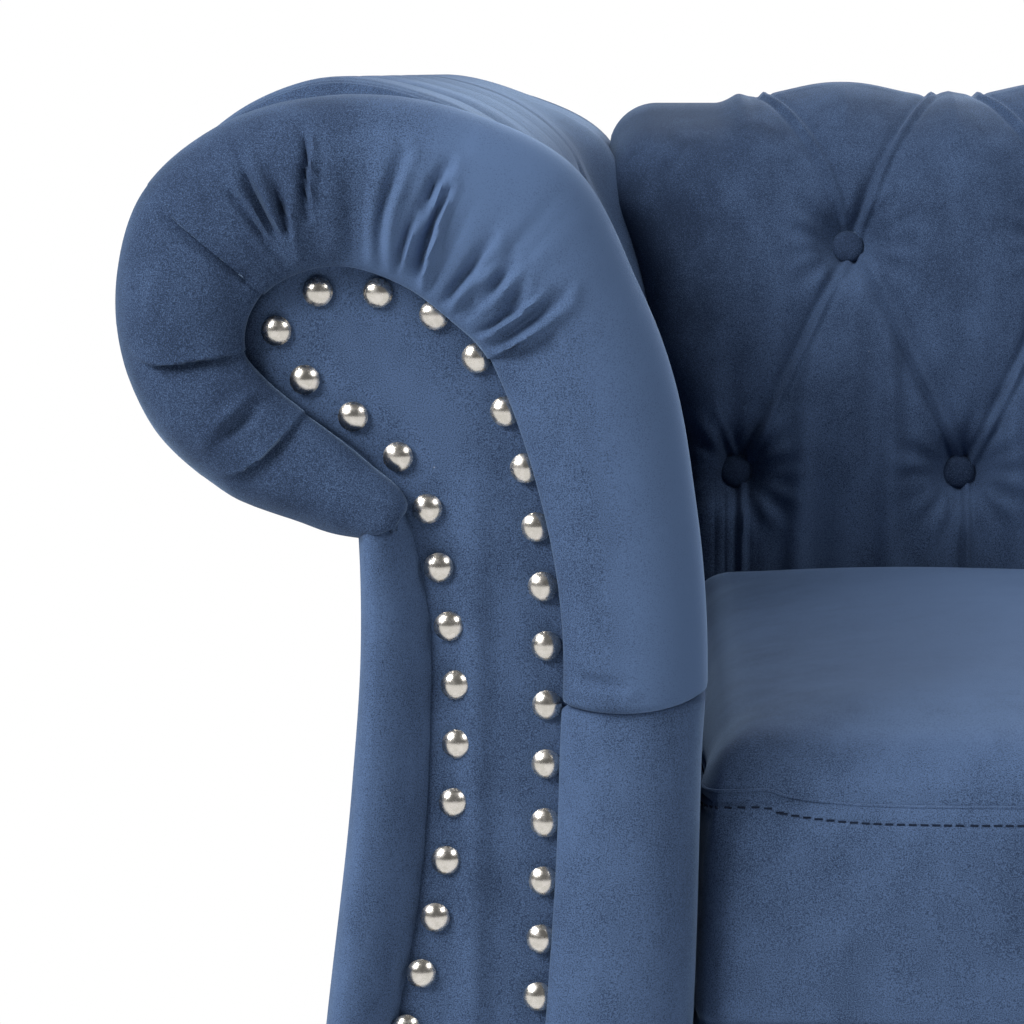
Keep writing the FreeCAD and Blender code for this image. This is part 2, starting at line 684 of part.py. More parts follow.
def make_base():
    inner = HALF_SEAT - RAIL
    end = REAR_RAIL_Y + RAIL
    front = block(-inner, inner, FRONT_RAIL_Y, FRONT_RAIL_Y + RAIL, BASE, RAIL_TOP)
    spring = block(-inner, inner, SPRING_RAIL_Y, SPRING_RAIL_Y + RAIL, BASE, RAIL_TOP)
    rear = block(-inner, inner, REAR_RAIL_Y, REAR_RAIL_Y + RAIL, BASE, RAIL_TOP)
    corners, middle = foot_places()
    for x, y in middle:
        hole = Part.makeCylinder(FOOT_BOLT_RADIUS, FOOT_BOLT_UP, vec(x, y, BASE))
        front = front.cut(hole)
        spring = spring.cut(hole)
    keep("seat_front_rail", front)
    keep("seat_rear_rails", Part.makeCompound([spring, rear]))
    ends, blocks = [], []
    for side in SIDES.values():
        rail = block(side * inner, side * HALF_SEAT, FRONT_RAIL_Y, end, BASE, RAIL_TOP)
        ends.append(rail.cut(arm_bolt_holes(side)))
        for y, way in ((FRONT_RAIL_Y + RAIL, 1), (REAR_RAIL_Y, -1)):
            tip = vec(side * inner, y, BASE)
            corner = [tip, tip + vec(-side * CORNER_BLOCK, 0, 0), tip + vec(0, way * CORNER_BLOCK, 0), tip]
            blocks.append(Part.Face(Part.makePolygon(corner)).extrude(vec(0, 0, CROSS_RAIL_HEIGHT)))
    keep("seat_end_rails", Part.makeCompound(ends))
    keep("seat_corner_blocks", Part.makeCompound(blocks))
    cross = []
    for x in back_post_places()[1:-1]:
        low, high = x - RAIL / 2, x + RAIL / 2
        cross.append(block(low, high, FRONT_RAIL_Y + RAIL, SPRING_RAIL_Y, BASE, BASE + CROSS_RAIL_HEIGHT))
        cross.append(block(low, high, SPRING_RAIL_Y + RAIL, REAR_RAIL_Y, BASE, RAIL_TOP))
    keep("seat_cross_rails", Part.makeCompound(cross))
    bolts = [bolt(s, vec(side, 0, 0)) for side in SIDES.values() for s in arm_bolt_seats(side)]
    keep("arm_bolts", Part.makeCompound(bolts))


def make_springs():
    """Zigzag wire springs from the front rail to the spring rail, each end held in a clip."""
    start = FRONT_RAIL_Y + RAIL / 2
    run = SPRING_RAIL_Y + RAIL / 2 - start
    turns = max(2, 2 * round(run / SPRING_PITCH / 2))
    pitch = run / turns
    height = RAIL_TOP + CLIP_WIRE_HEIGHT
    half = SPRING_WIDTH / 2 - pitch / 2
    count = SPRINGS_PER_SEAT * SEATS
    step = 2 * (HALF_SEAT - RAIL) / count
    springs, clips = [], []
    for i in range(count):
        middle = (i - (count - 1) / 2) * step
        edges = []
        for n in range(turns + 1):
            way = 1 if n % 2 == 0 else -1
            y = start + n * pitch
            tail, head = vec(middle - way * half, y, height), vec(middle + way * half, y, height)
            edges.append(Part.LineSegment(tail, head).toShape())
            if n < turns:
                bow = vec(middle + way * (half + pitch / 2), y + pitch / 2, height)
                edges.append(Part.Arc(head, bow, head + vec(0, pitch, 0)).toShape())
        path = Part.Wire(edges)
        ring = Part.makeCircle(SPRING_WIRE_RADIUS, vec(middle - half, start, height), vec(1, 0, 0))
        springs.append(path.makePipeShell([Part.Wire([ring])], True, False))
        for y in (start, start + run):
            low = vec(middle - CLIP_LENGTH / 2, y - CLIP_WIDTH / 2, RAIL_TOP)
            clip = Part.makeBox(CLIP_LENGTH, CLIP_WIDTH, CLIP_HEIGHT, low)
            groove = vec(middle - CLIP_LENGTH, y, height)
            bore = Part.makeCylinder(SPRING_WIRE_RADIUS + GAP, 2 * CLIP_LENGTH, groove, vec(1, 0, 0))
            clips.append(clip.cut(bore))
    keep("seat_springs", Part.makeCompound(springs))
    keep("spring_clips", Part.makeCompound(clips))


def make_deck():
    """Foam and cloth over the springs, the padded front border and the dust cover under the frame."""
    reach = HALF_SEAT - GAP
    top = DECK - VELVET
    rear = BACK_FRONT + BACK_PAD - BRACKET_THICK - GAP
    pad_front = FRONT_RAIL_Y - BORDER_PAD
    keep("deck_foam", block(-reach, reach, FRONT_RAIL_Y, rear, DECK_FOAM_BOTTOM, top))
    keep("deck_cover", block(-reach, reach, BORDER_FRONT, rear, top, DECK))
    keep("front_border_padding", block(-reach, reach, pad_front, FRONT_RAIL_Y, BASE, top))
    keep("front_border_cover", block(-reach, reach, BORDER_FRONT, pad_front, BASE, top))
    sheet = block(-reach, reach, FRONT_RAIL_Y, REAR_RAIL_Y + RAIL, BASE - DUST_COVER, BASE)
    for x, y in foot_places()[1]:
        low = vec(x, y, BASE - 2 * DUST_COVER)
        sheet = sheet.cut(Part.makeCylinder(FOOT_TOP_RADIUS + GAP, 2 * DUST_COVER, low))
    keep("dust_cover", sheet)


def turned_foot(x, y):
    """Turned wooden foot, bored for its bolt, on a glide."""
    collar = BASE - FOOT_COLLAR
    neck = collar - FOOT_NECK
    toe = GLIDE_THICK + FOOT_TOE

    def place(radius, height):
        return vec(radius, 0, height)

    bulb_ends = (FOOT_TOE_RADIUS, toe), (FOOT_NECK_RADIUS, neck)
    bulb = [place(*bulb_ends[0]), place(FOOT_BULB_RADIUS, (neck + toe) / 2), place(*bulb_ends[1])]
    edges = lines([(0, GLIDE_THICK), (FOOT_TOE_RADIUS, GLIDE_THICK), bulb_ends[0]], place)
    edges.append(Part.Arc(*bulb).toShape())
    over = [bulb_ends[1], (FOOT_NECK_RADIUS, collar), (FOOT_TOP_RADIUS, collar), (FOOT_TOP_RADIUS, BASE)]
    edges += lines([*over, (0, BASE), (0, GLIDE_THICK)], place)
    foot = Part.Face(Part.Wire(edges)).revolve(vec(0, 0, 0), vec(0, 0, 1), 360)
    bore = Part.makeCylinder(FOOT_BOLT_RADIUS, FOOT_BOLT_DOWN, vec(0, 0, BASE - FOOT_BOLT_DOWN))
    return foot.cut(bore).translated(vec(x, y, 0))


def make_feet():
    corners, middle = foot_places()
    for name, spot in corners.items():
        keep(name, turned_foot(*spot))
    keep("centre_feet", Part.makeCompound([turned_foot(*spot) for spot in middle]))
    bolts, glides = [], []
    for x, y in [*corners.values(), *middle]:
        reach = FOOT_BOLT_DOWN + FOOT_BOLT_UP
        bolts.append(Part.makeCylinder(FOOT_BOLT_RADIUS, reach, vec(x, y, BASE - FOOT_BOLT_DOWN)))
        glides.append(Part.makeCylinder(GLIDE_RADIUS, GLIDE_THICK, vec(x, y, 0)))
    keep("foot_bolts", Part.makeCompound(bolts))
    keep("foot_glides", Part.makeCompound(glides))


def rounded_block(inset, x0, x1):
    """Cushion-shaped block, moved in by an inset, with every edge rounded."""
    depth = (CUSHION_FRONT + inset, CUSHION_REAR - inset)
    height = (DECK + GAP + inset, CUSHION_TOP - inset)
    shape = block(x0 + inset, x1 - inset, *depth, *height)
    return shape.makeFillet(CUSHION_ROUND - inset, shape.Edges)


def make_cushions():
    for i, name in enumerate(CUSHIONS):
        x0 = -HALF_SEAT + CUSHION_SIDE_GAP + i * (CUSHION_WIDTH + CUSHION_JOIN_GAP)
        x1 = x0 + CUSHION_WIDTH
        keep(f"{name}_cushion_cover", rounded_block(0, x0, x1).cut(rounded_block(VELVET, x0, x1)))
        keep(f"{name}_cushion_core", rounded_block(VELVET + GAP, x0, x1))


make_base()
make_springs()
make_deck()
make_feet()
for arm_name, arm_side in SIDES.items():
    make_arm(arm_name, arm_side)
make_back()
make_cushions()

os.makedirs("parts", exist_ok=True)
for node, shape in made.items():
    shape.exportStep(f"parts/{node}.step")
    state = "valid" if shape.isValid() else "not valid"
    print(node, len(shape.Solids), "solids", round(shape.Volume / 1e3), "cm3", state)
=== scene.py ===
import math

import bpy
import numpy as np
from mathutils import Matrix, Vector


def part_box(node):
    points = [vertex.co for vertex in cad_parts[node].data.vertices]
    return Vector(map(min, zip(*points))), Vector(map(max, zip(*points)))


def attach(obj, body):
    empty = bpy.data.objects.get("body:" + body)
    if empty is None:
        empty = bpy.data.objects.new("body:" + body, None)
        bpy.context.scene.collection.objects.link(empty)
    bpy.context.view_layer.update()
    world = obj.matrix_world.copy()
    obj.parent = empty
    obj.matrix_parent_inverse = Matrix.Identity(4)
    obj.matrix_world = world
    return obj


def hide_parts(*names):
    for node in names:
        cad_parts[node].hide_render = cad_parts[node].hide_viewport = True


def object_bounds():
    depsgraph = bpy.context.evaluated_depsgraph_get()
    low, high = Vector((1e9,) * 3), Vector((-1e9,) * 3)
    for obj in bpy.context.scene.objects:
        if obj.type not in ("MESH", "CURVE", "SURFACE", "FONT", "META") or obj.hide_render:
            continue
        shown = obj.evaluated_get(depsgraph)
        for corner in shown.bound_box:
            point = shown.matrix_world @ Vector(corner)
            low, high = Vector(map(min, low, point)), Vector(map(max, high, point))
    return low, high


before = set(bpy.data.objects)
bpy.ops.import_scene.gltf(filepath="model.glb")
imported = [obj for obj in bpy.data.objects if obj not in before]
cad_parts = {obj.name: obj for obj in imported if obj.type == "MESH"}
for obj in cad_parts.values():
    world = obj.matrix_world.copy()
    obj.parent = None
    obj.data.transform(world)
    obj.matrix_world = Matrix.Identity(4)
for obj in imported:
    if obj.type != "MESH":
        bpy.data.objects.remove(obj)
cad_low, cad_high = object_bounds()


# Beech frame: planed rails, posts, corner blocks and scroll boards, glued and bolted together.
# The timber is pale and straight-grained, and all of it ends up under the upholstery.
class Wire:
    """A socket of a finish's nodes. Sums and products of wires add the nodes that work them out."""

    def __init__(self, tree, socket=None):
        self.tree = tree
        self.socket = socket

    def node(self, kind, settings=None, sockets=None, out=0):
        """Adds a node, makes its settings, then gives its sockets their values or links."""
        made = self.tree.nodes.new(kind)
        for name, value in (settings or {}).items():
            setattr(made, name, value)
        for name, value in (sockets or {}).items():
            if isinstance(value, Wire):
                self.tree.links.new(value.socket, made.inputs[name])
            else:
                made.inputs[name].default_value = value
        return Wire(self.tree, made.outputs[out] if made.outputs else None)

    def maths(self, operation, *values):
        return self.node("ShaderNodeMath", {"operation": operation}, dict(enumerate(values)))

    def __add__(self, other):
        return self.maths("ADD", self, other)

    def __sub__(self, other):
        return self.maths("SUBTRACT", self, other)

    def __rsub__(self, other):
        return self.maths("SUBTRACT", other, self)

    def __mul__(self, other):
        return self.maths("MULTIPLY", self, other)

    def __truediv__(self, other):
        return self.maths("DIVIDE", self, other)

    def __abs__(self):
        return self.maths("ABSOLUTE", self)

    __radd__ = __add__
    __rmul__ = __mul__

    def axis(self, number):
        """The x, y or z of this wire's place, by its number."""
        return self.node("ShaderNodeSeparateXYZ", {}, {0: self}, out=number)

    def between(self, low, high):
        """Rises smoothly from 0 to 1 as this wire goes from low to high."""
        limits = {"Value": self, "From Min": low, "From Max": high}
        return self.node("ShaderNodeMapRange", {"interpolation_type": "SMOOTHSTEP"}, limits)

    def tint(self, low, high):
        """The colour low where this wire is 0 and high where it is 1."""
        return self.node("ShaderNodeMix", {"data_type": "RGBA"}, {0: self, 6: low, 7: high}, out=2)

    def noise(self, size, detail=2.0, stretch=(1, 1, 1)):
        """Soft random patches of about that size in metres, over this wire's coordinates."""
        place = self.node("ShaderNodeMapping", {}, {"Vector": self, "Scale": stretch})
        return self.node("ShaderNodeTexNoise", {}, {"Vector": place, "Scale": 1 / size, "Detail": detail})

    def bump(self, depth):
        """The surface roughened by this wire, that deep in metres."""
        return self.node("ShaderNodeBump", {}, {"Height": self, "Distance": depth, "Strength": 1.0})


def start_finish(name):
    """A bare material, as the wire that its finish grows from."""
    material = bpy.data.materials.new(name)
    material.use_nodes = True
    material.node_tree.nodes.clear()
    return Wire(material.node_tree)


def end_finish(wire, sockets):
    """Gives a finish its shader."""
    shader = wire.node("ShaderNodeBsdfPrincipled", {}, sockets)
    wire.node("ShaderNodeOutputMaterial", {}, {"Surface": shader})


def object_place(wire):
    return wire.node("ShaderNodeTexCoord", out="Object")


def timber(name, dark, light, grain_size, gloss):
    """Wood with long streaks of grain along the height or length of a piece, and fine pores."""
    wood = start_finish(name)
    place = object_place(wood)
    streaks = place.noise(grain_size, 3.0, (0.25, 1, 1))
    pores = place.noise(grain_size / 9, 1.0, (0.12, 1, 1))
    grain = (streaks * 0.75 + pores * 0.35).between(0.3, 0.8)
    sockets = {"Base Color": grain.tint(dark, light), "Roughness": grain * 0.15 + gloss}
    end_finish(wood, {**sockets, "Normal": pores.bump(0.0002)})


def finish_nodes(finish, names):
    """Gives the frame's own solids a finish."""
    for name in names:
        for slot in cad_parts[name].material_slots:
            slot.material = bpy.data.materials[finish]


SIDES = ("left", "right")
ARM_TIMBER = ("boards", "rails", "mount_rail")
timber("beech", (0.42, 0.25, 0.12, 1), (0.66, 0.46, 0.27, 1), 0.012, 0.55)
finish_nodes("beech", [f"{side}_arm_{piece}" for side in SIDES for piece in ARM_TIMBER])
finish_nodes("beech", ["seat_front_rail", "seat_rear_rails", "seat_end_rails", "seat_corner_blocks"])
finish_nodes("beech", ["seat_cross_rails", "back_rails", "back_posts"])


# Bolts, brackets and spring clips: zinc-plated steel, with the cloudy spangle of plating.
# They hold the arms, the back, the feet and the springs to the frame.
steel = start_finish("plated_steel")
spangle = object_place(steel).noise(0.004).between(0.3, 0.7)
steel_tone = spangle.tint((0.42, 0.43, 0.45, 1), (0.60, 0.61, 0.62, 1))
end_finish(steel, {"Base Color": steel_tone, "Metallic": 1.0, "Roughness": spangle * 0.15 + 0.3})
finish_nodes("plated_steel", ["arm_bolts", "back_brackets", "spring_clips", "foot_bolts"])


# Zigzag springs: round steel wire bent in flat zigzags, hooked into a clip at each end.
# Fifteen of them run from the front rail to the spring rail, under the deck.
SPRING_COUNT = 15
SPRING_WIRE = 0.002
SPRING_TURNS = 26
SPRING_WIDTH = 0.046
SPRING_FIELD = 2 * 0.801
BEND_POINTS = 5
spring_low, spring_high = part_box("seat_springs")
spring_start = spring_low.y + SPRING_WIRE
spring_pitch = (spring_high.y - spring_low.y - 2 * SPRING_WIRE) / SPRING_TURNS
spring_step = SPRING_FIELD / SPRING_COUNT
spring_reach = SPRING_WIDTH / 2 - spring_pitch / 2
spring_height = (spring_low.z + spring_high.z) / 2


def zigzag(middle):
    """Points along one spring's wire: straight runs joined by half circles."""
    points = []
    for turn in range(SPRING_TURNS + 1):
        way = 1 if turn % 2 == 0 else -1
        y = spring_start + turn * spring_pitch
        points.append((middle - way * spring_reach, y, spring_height))
        points.append((middle + way * spring_reach, y, spring_height))
        for bend in range(1, BEND_POINTS):
            angle = math.pi * bend / BEND_POINTS
            out = middle + way * (spring_reach + math.sin(angle) * spring_pitch / 2)
            points.append((out, y + (1 - math.cos(angle)) * spring_pitch / 2, spring_height))
    return points[: 1 - BEND_POINTS]


def wire_along(name, runs, radius):
    """A round wire along each run of points, made as a bevelled curve and turned into a mesh."""
    curve = bpy.data.curves.new(name, "CURVE")
    curve.dimensions = "3D"
    curve.bevel_depth = radius
    curve.bevel_resolution = 1
    curve.use_fill_caps = True
    for run in runs:
        line = curve.splines.new("POLY")
        line.points.add(len(run) - 1)
        for point, place in zip(line.points, run):
            point.co = (*place, 1)
    wire = bpy.data.objects.new(name, curve)
    bpy.context.collection.objects.link(wire)
    pick(wire)
    bpy.ops.object.convert(target="MESH")
    return bpy.context.object


def pick(*pieces):
    """Selects these pieces only, and makes the first one active."""
    bpy.ops.object.select_all(action="DESELECT")
    for piece in pieces:
        piece.select_set(True)
    bpy.context.view_layer.objects.active = pieces[0]


def dress(piece, finish, body, slot, *nodes):
    """Finishes a piece, lets it ride on its body and stand for the solids it covers."""
    piece.data.materials.clear()
    piece.data.materials.append(bpy.data.materials[finish])
    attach(piece, body)
    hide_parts(*nodes)


middles = [(i - (SPRING_COUNT - 1) / 2) * spring_step for i in range(SPRING_COUNT)]
springs = wire_along("zigzag_springs", [zigzag(middle) for middle in middles], SPRING_WIRE)
bpy.ops.object.shade_smooth()
dress(springs, "plated_steel", "frame", "steel", "seat_springs")


# Feet: turned hardwood, stained very dark and lacquered, screwed up into the frame on a bolt.
# Each stands on a nailed plastic glide.
timber("stained_hardwood", (0.010, 0.006, 0.004, 1), (0.035, 0.020, 0.012, 1), 0.010, 0.28)
corner_feet = [f"{end}_{side}_foot" for end in ("front", "rear") for side in SIDES]
finish_nodes("stained_hardwood", [*corner_feet, "centre_feet"])
glide = start_finish("scuffed_plastic")
scuff = object_place(glide).noise(0.006).between(0.35, 0.7)
glide_tone = scuff.tint((0.012, 0.012, 0.013, 1), (0.04, 0.04, 0.04, 1))
end_finish(glide, {"Base Color": glide_tone, "Roughness": scuff * 0.2 + 0.45})
finish_nodes("scuffed_plastic", ["foot_glides"])


# Webbing: woven jute bands tacked across the back, behind the stuffing.
# They carry the padding between the posts.
BANDS_PER_THREAD = 0.314


def woven(name, dark, light, thread, gloss):
    """Plain weave: two sets of threads that pass over and under each other."""
    cloth = start_finish(name)
    place = object_place(cloth)
    bands = {"Vector": place, "Scale": BANDS_PER_THREAD / thread}
    waves = [place.node("ShaderNodeTexWave", {"bands_direction": way}, bands, out="Fac") for way in "XYZ"]
    weave = (waves[0] * waves[1] + waves[1] * waves[2] + waves[2] * waves[0]) * 0.5
    slubs = place.noise(thread * 4).between(0.3, 0.7)
    tone = (weave * 0.6 + slubs * 0.4).tint(dark, light)
    end_finish(cloth, {"Base Color": tone, "Roughness": gloss, "Normal": weave.bump(thread / 5)})


woven("jute_webbing", (0.18, 0.11, 0.055, 1), (0.40, 0.28, 0.16, 1), 0.0025, 0.9)
finish_nodes("jute_webbing", ["back_webbing"])


# Dust cover: thin black non-woven cloth stapled under the frame, sagging a little between the rails.
# The centre feet come through it.
woven("dust_cloth", (0.006, 0.006, 0.007, 1), (0.022, 0.022, 0.024, 1), 0.0012, 0.95)
DUST_SAG = 0.006
DUST_BAYS = 3
DUST_PULL = 0.0004
dust_low, dust_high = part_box("dust_cover")


def put_places(piece, places):
    """Moves a piece's points to the given places."""
    piece.data.vertices.foreach_set("co", np.ascontiguousarray(places, np.float32).ravel())
    piece.data.update()


def shaped_grid(name, places):
    """A grid with a point at each place of the given rows and columns."""
    rows, columns = places.shape[:2]
    bpy.ops.object.select_all(action="DESELECT")
    bpy.ops.mesh.primitive_grid_add(x_subdivisions=columns - 1, y_subdivisions=rows - 1)
    piece = bpy.context.object
    piece.name = name
    piece.data.name = name
    put_places(piece, places)
    return piece


def even_grid(low, high, columns, rows, upright=1):
    """Even columns across a box, and even rows over its depth, or over its height where upright is 2."""
    return np.meshgrid(np.linspace(low.x, high.x, columns), np.linspace(low[upright], high[upright], rows))


def thicken(piece, thickness):
    """Gives a sheet its thickness, on both sides of where it lies."""
    pick(piece)
    wall = piece.modifiers.new("thickness", "SOLIDIFY")
    wall.thickness = thickness
    wall.offset = 0
    bpy.ops.object.modifier_apply(modifier="thickness")


across, deep = even_grid(dust_low, dust_high, 121, 61)
share_x = (across - dust_low.x) / (dust_high.x - dust_low.x)
share_y = (deep - dust_low.y) / (dust_high.y - dust_low.y)
bay = np.abs(np.sin(DUST_BAYS * math.pi * share_x)) * np.sin(math.pi * share_y)
pull = DUST_PULL * np.sin(90 * across) * np.sin(math.pi * share_y)
dust = shaped_grid("dust_cover_cloth", np.dstack([across, deep, dust_low.z - DUST_SAG * bay + pull]))
thicken(dust, dust_high.z - dust_low.z)
bpy.ops.object.shade_smooth()
dress(dust, "dust_cloth", "frame", "lining", "dust_cover")


# Deck: lining cloth stretched over the foam and springs, where the loose cushions lie.
# It dips between the springs and is pulled down at its seams.
woven("deck_lining", (0.008, 0.011, 0.020, 1), (0.030, 0.040, 0.065, 1), 0.0016, 0.9)
DECK_DIP = 0.0015
DECK_EDGE = 0.05
DECK_ROUND = 0.004
SMOOTH_UP_TO = math.radians(80)
deck_low, deck_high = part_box("deck_cover")


def rolled(distance, radius):
    """How far an edge of that radius has turned in at a distance from its end."""
    near = np.clip(1 - distance / radius, 0, 1)
    return radius * (1 - np.sqrt(1 - near**2))


def from_rim(u, v):
    """Distance of each point of a rectangle's grid from its nearest side."""
    return np.minimum(np.minimum(u - u.min(), u.max() - u), np.minimum(v - v.min(), v.max() - v))


def closed_grid(name, places):
    """A shaped grid with doubled points merged, open ends filled, and smooth faces turned outwards."""
    piece = shaped_grid(name, places)
    pick(piece)
    bpy.ops.object.mode_set(mode="EDIT")
    bpy.ops.mesh.select_all(action="SELECT")
    bpy.ops.mesh.remove_doubles(threshold=1e-6)
    bpy.ops.mesh.fill_holes(sides=0)
    bpy.ops.mesh.normals_make_consistent(inside=False)
    bpy.ops.object.mode_set(mode="OBJECT")
    bpy.ops.object.shade_smooth_by_angle(angle=SMOOTH_UP_TO)
    return piece


def pad_grid(name, face, axis, behind):
    """A closed pad: its shaped face, turned over at its first and last row to a place behind on an axis."""
    turned = face[[0, -1]].copy()
    turned[..., axis] = behind
    return closed_grid(name, np.concatenate([turned[:1], face, turned[1:]]))


across, deep = even_grid(deck_low, deck_high, 331, 129)
edge = from_rim(across, deep)
spring_dip = DECK_DIP * np.cos(2 * math.pi * across / spring_step) * np.clip(edge / DECK_EDGE, 0, 1)
deck_top = deck_high.z - DECK_DIP + spring_dip - rolled(edge, DECK_ROUND)
deck = pad_grid("deck_lining_cloth", np.dstack([across, deep, deck_top]), 2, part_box("deck_foam")[0].z)
dress(deck, "deck_lining", "frame", "lining", "deck_cover", "deck_foam")


# Velvet: deep blue short pile that reads dark face on and pale where it turns away.
# The pile shows as fine grain, and brushing leaves soft lighter and darker patches.
def velvet_pile(name, painted_light):
    """Short blue pile with its grain and brushed patches. The last argument adds painted light and shade,
    making places of it lighter or darker.
    """
    velvet = start_finish(name)
    place = object_place(velvet)
    pile = place.noise(0.0005, 1.0)
    brushed = place.noise(0.018, 2.0, (1, 1, 0.7))
    nap = place.noise(0.11, 2.0)
    tone = (pile - 0.5) * 1.5 + (brushed - 0.5) * 0.40 + (nap - 0.5) * 0.50 + 0.52
    tone = (tone + painted_light(place)).between(0.0, 1.0)
    lint = place.node("ShaderNodeTexVoronoi", {}, {"Vector": place, "Scale": 28.0})
    speck = (1 - lint.between(0.006, 0.012)) * 0.4
    blue = tone.tint((0.014, 0.025, 0.053, 1), (0.071, 0.117, 0.219, 1))
    sockets = {
        "Base Color": speck.tint(blue, (0.45, 0.47, 0.50, 1)),
        "Roughness": 0.9,
        "Specular IOR Level": 0.1,
        "Sheen Weight": 0.32,
        "Sheen Roughness": 0.30,
        "Sheen Tint": (0.48, 0.69, 1.0, 1),
        "Normal": pile.bump(0.00014),
    }
    end_finish(velvet, sockets)


velvet_pile("blue_velvet", lambda place: 0.0)
# A lighter copy of the same velvet for the arms' lower and outer panels: painted light.
velvet_pile("pale_velvet", lambda place: 0.10)


# Front border: a velvet strip padded over the front rail between the arms, under the cushions.
# It is pulled down along its top edge and turned under the rail.
border_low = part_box("front_border_cover")[0]
border_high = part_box("front_border_padding")[1]
BORDER_ROUND = 0.009
BORDER_FLARE_FOOT = 0.0095
BORDER_FLARE_TOP = 0.006
BORDER_PULL = 0.0008
PULL_HEIGHT = 0.177
border_rows = np.linspace(border_low.z, border_high.z, 61)
across, up = np.meshgrid(np.linspace(-1, 1, 331), border_rows)
edge = np.minimum(up - border_low.z, border_high.z - up)
climb = (up - border_low.z) / (border_high.z - border_low.z)
border_end = border_high.x + BORDER_FLARE_FOOT + (BORDER_FLARE_TOP - BORDER_FLARE_FOOT) * climb
across = across * border_end
side_edge = border_end - np.abs(across)
pull = BORDER_PULL * np.sin(70 * across + 9 * up) * np.sin(math.pi * (up - border_low.z) / PULL_HEIGHT)
front = border_low.y + rolled(edge, BORDER_ROUND) + rolled(side_edge, BORDER_ROUND) + BORDER_PULL - pull
front_border = pad_grid("front_border_pad", np.dstack([across, front, up]), 1, border_high.y)
dress(front_border, "blue_velvet", "frame", "velvet", "front_border_cover", "front_border_padding")


# Arm facings: velvet over a keyhole-shaped board on the front of each arm, held by a row of nails.
# The velvet dips round each nail, with a soft upright fold where it was pulled over the board.
arm_low, arm_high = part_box("left_arm_cover")
facing_low, facing_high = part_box("left_arm_facing")
INNER_X = arm_high.x
FRONT_Y = arm_low.y
FACING_IN = (
    (0.068, 0.110), (0.064, 0.300), (0.0575, 0.400), (0.056, 0.456), (0.064, 0.521), (0.088, 0.601),
    (0.103, 0.619), (0.124, 0.632), (0.150, 0.639),
)
FACING_OUT = (
    (0.1525, 0.110), (0.149, 0.200), (0.1355, 0.300), (0.1240, 0.365), (0.1190, 0.440), (0.1195, 0.485),
    (0.129, 0.522), (0.142, 0.5485), (0.174, 0.572), (0.188, 0.583), (0.1965, 0.598), (0.195, 0.611),
    (0.188, 0.624), (0.174, 0.635), (0.160, 0.639),
)


def reach_along(line):
    """How far along a line of points each of them is."""
    return np.concatenate([[0], np.cumsum(np.linalg.norm(np.diff(line, axis=0), axis=1))])


def smooth_curve(points, count=None, at=None):
    """Points of a smooth curve through the given ones, spaced evenly or at shares of its knots' length."""
    points = np.asarray(points, float)
    knots = reach_along(points)
    where = np.linspace(0, 1, count) if at is None else at
    return curve_at(knots, points, where * knots[-1])


def curve_at(knots, points, at):
    """Points of a smooth curve that passes the given points at their knots."""
    slopes = np.gradient(points, knots, axis=0, edge_order=2)
    i = np.clip(np.searchsorted(knots, at, side="right") - 1, 0, len(knots) - 2)
    span = (knots[i + 1] - knots[i])[:, None]
    f = (at - knots[i])[:, None] / span
    start = (2 * f**3 - 3 * f**2 + 1) * points[i] + (f**3 - 2 * f**2 + f) * span * slopes[i]
    return start + (3 * f**2 - 2 * f**3) * points[i + 1] + (f**3 - f**2) * span * slopes[i + 1]


def in_arm(out, y, up):
    """Places in the left arm, from how far out of the seat, how far back and how high they are."""
    out, y, up = np.broadcast_arrays(out, y, up)
    return np.stack([INNER_X - out, y, up], axis=-1)


def clusters(node, reach):
    """The middle of each group of a node's points that lie within reach of each other, from the front."""
    left = np.array([v.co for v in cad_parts[node].data.vertices])
    found = []
    while len(left):
        near = np.linalg.norm((left - left[0])[:, [0, 2]], axis=1) < reach
        found.append((left[near].min(0) + left[near].max(0)) / 2)
        left = left[~near]
    return np.array(found)


def twin(piece):
    """A copy of a piece with its own mesh."""
    other = piece.copy()
    other.data = piece.data.copy()
    bpy.context.collection.objects.link(other)
    return other


def mirrored(piece, name):
    """A copy of a left piece for the right arm, with its faces turned outwards again."""
    other = twin(piece)
    other.name = name
    other.data.name = name
    other.data.transform(Matrix.Scale(-1, 4, (1, 0, 0)))
    other.data.flip_normals()
    return other


def arm_pair(piece, finish, slot, name, nodes):
    """Dresses a left arm's piece and its mirrored copy, each for its own side's solids."""
    for side, each in (("left", piece), ("right", mirrored(piece, f"right_{name}"))):
        each.name = f"{side}_{name}"
        dress(each, finish, "frame", slot, *[f"{side}_arm_{node}" for node in nodes])


def panel_grid(name, face, behind):
    """A closed panel: its shaped face, and its flat rear at a place behind it."""
    rear = face[:, [-1, 0]].copy()
    rear[..., 1] = behind
    return closed_grid(name, np.concatenate([face, rear, face[:, :1]], axis=1))


NAIL_REACH = 0.012
NAIL_DENT = 0.0014
DENT_WIDTH = 0.008
FOLD_OUT = 0.099
FOLD_TOP = 0.56
FOLD_RISE = 0.0036
FOLD_WIDTH = 0.007
FACING_SET = 0.0016
FACING_CROWN = 0.0006
EDGE_TURN = 0.0045
nails = clusters("left_arm_nails", NAIL_REACH)
share = np.linspace(0, 1, 41)[None, :]
inside = smooth_curve(FACING_IN, 221)[:, None, :]
outside = smooth_curve(FACING_OUT, 221)[:, None, :]
spot = inside + (outside - inside) * share[..., None]
dents = 0
for nail in nails:
    away = np.hypot(INNER_X - nail[0] - spot[..., 0], nail[2] - spot[..., 1])
    dents = dents + np.exp(-((away / DENT_WIDTH) ** 2))
fold = np.exp(-(((spot[..., 0] - FOLD_OUT) / FOLD_WIDTH) ** 2))
upright = FOLD_RISE * fold * np.clip((FOLD_TOP - spot[..., 1]) / 0.08, 0, 1)
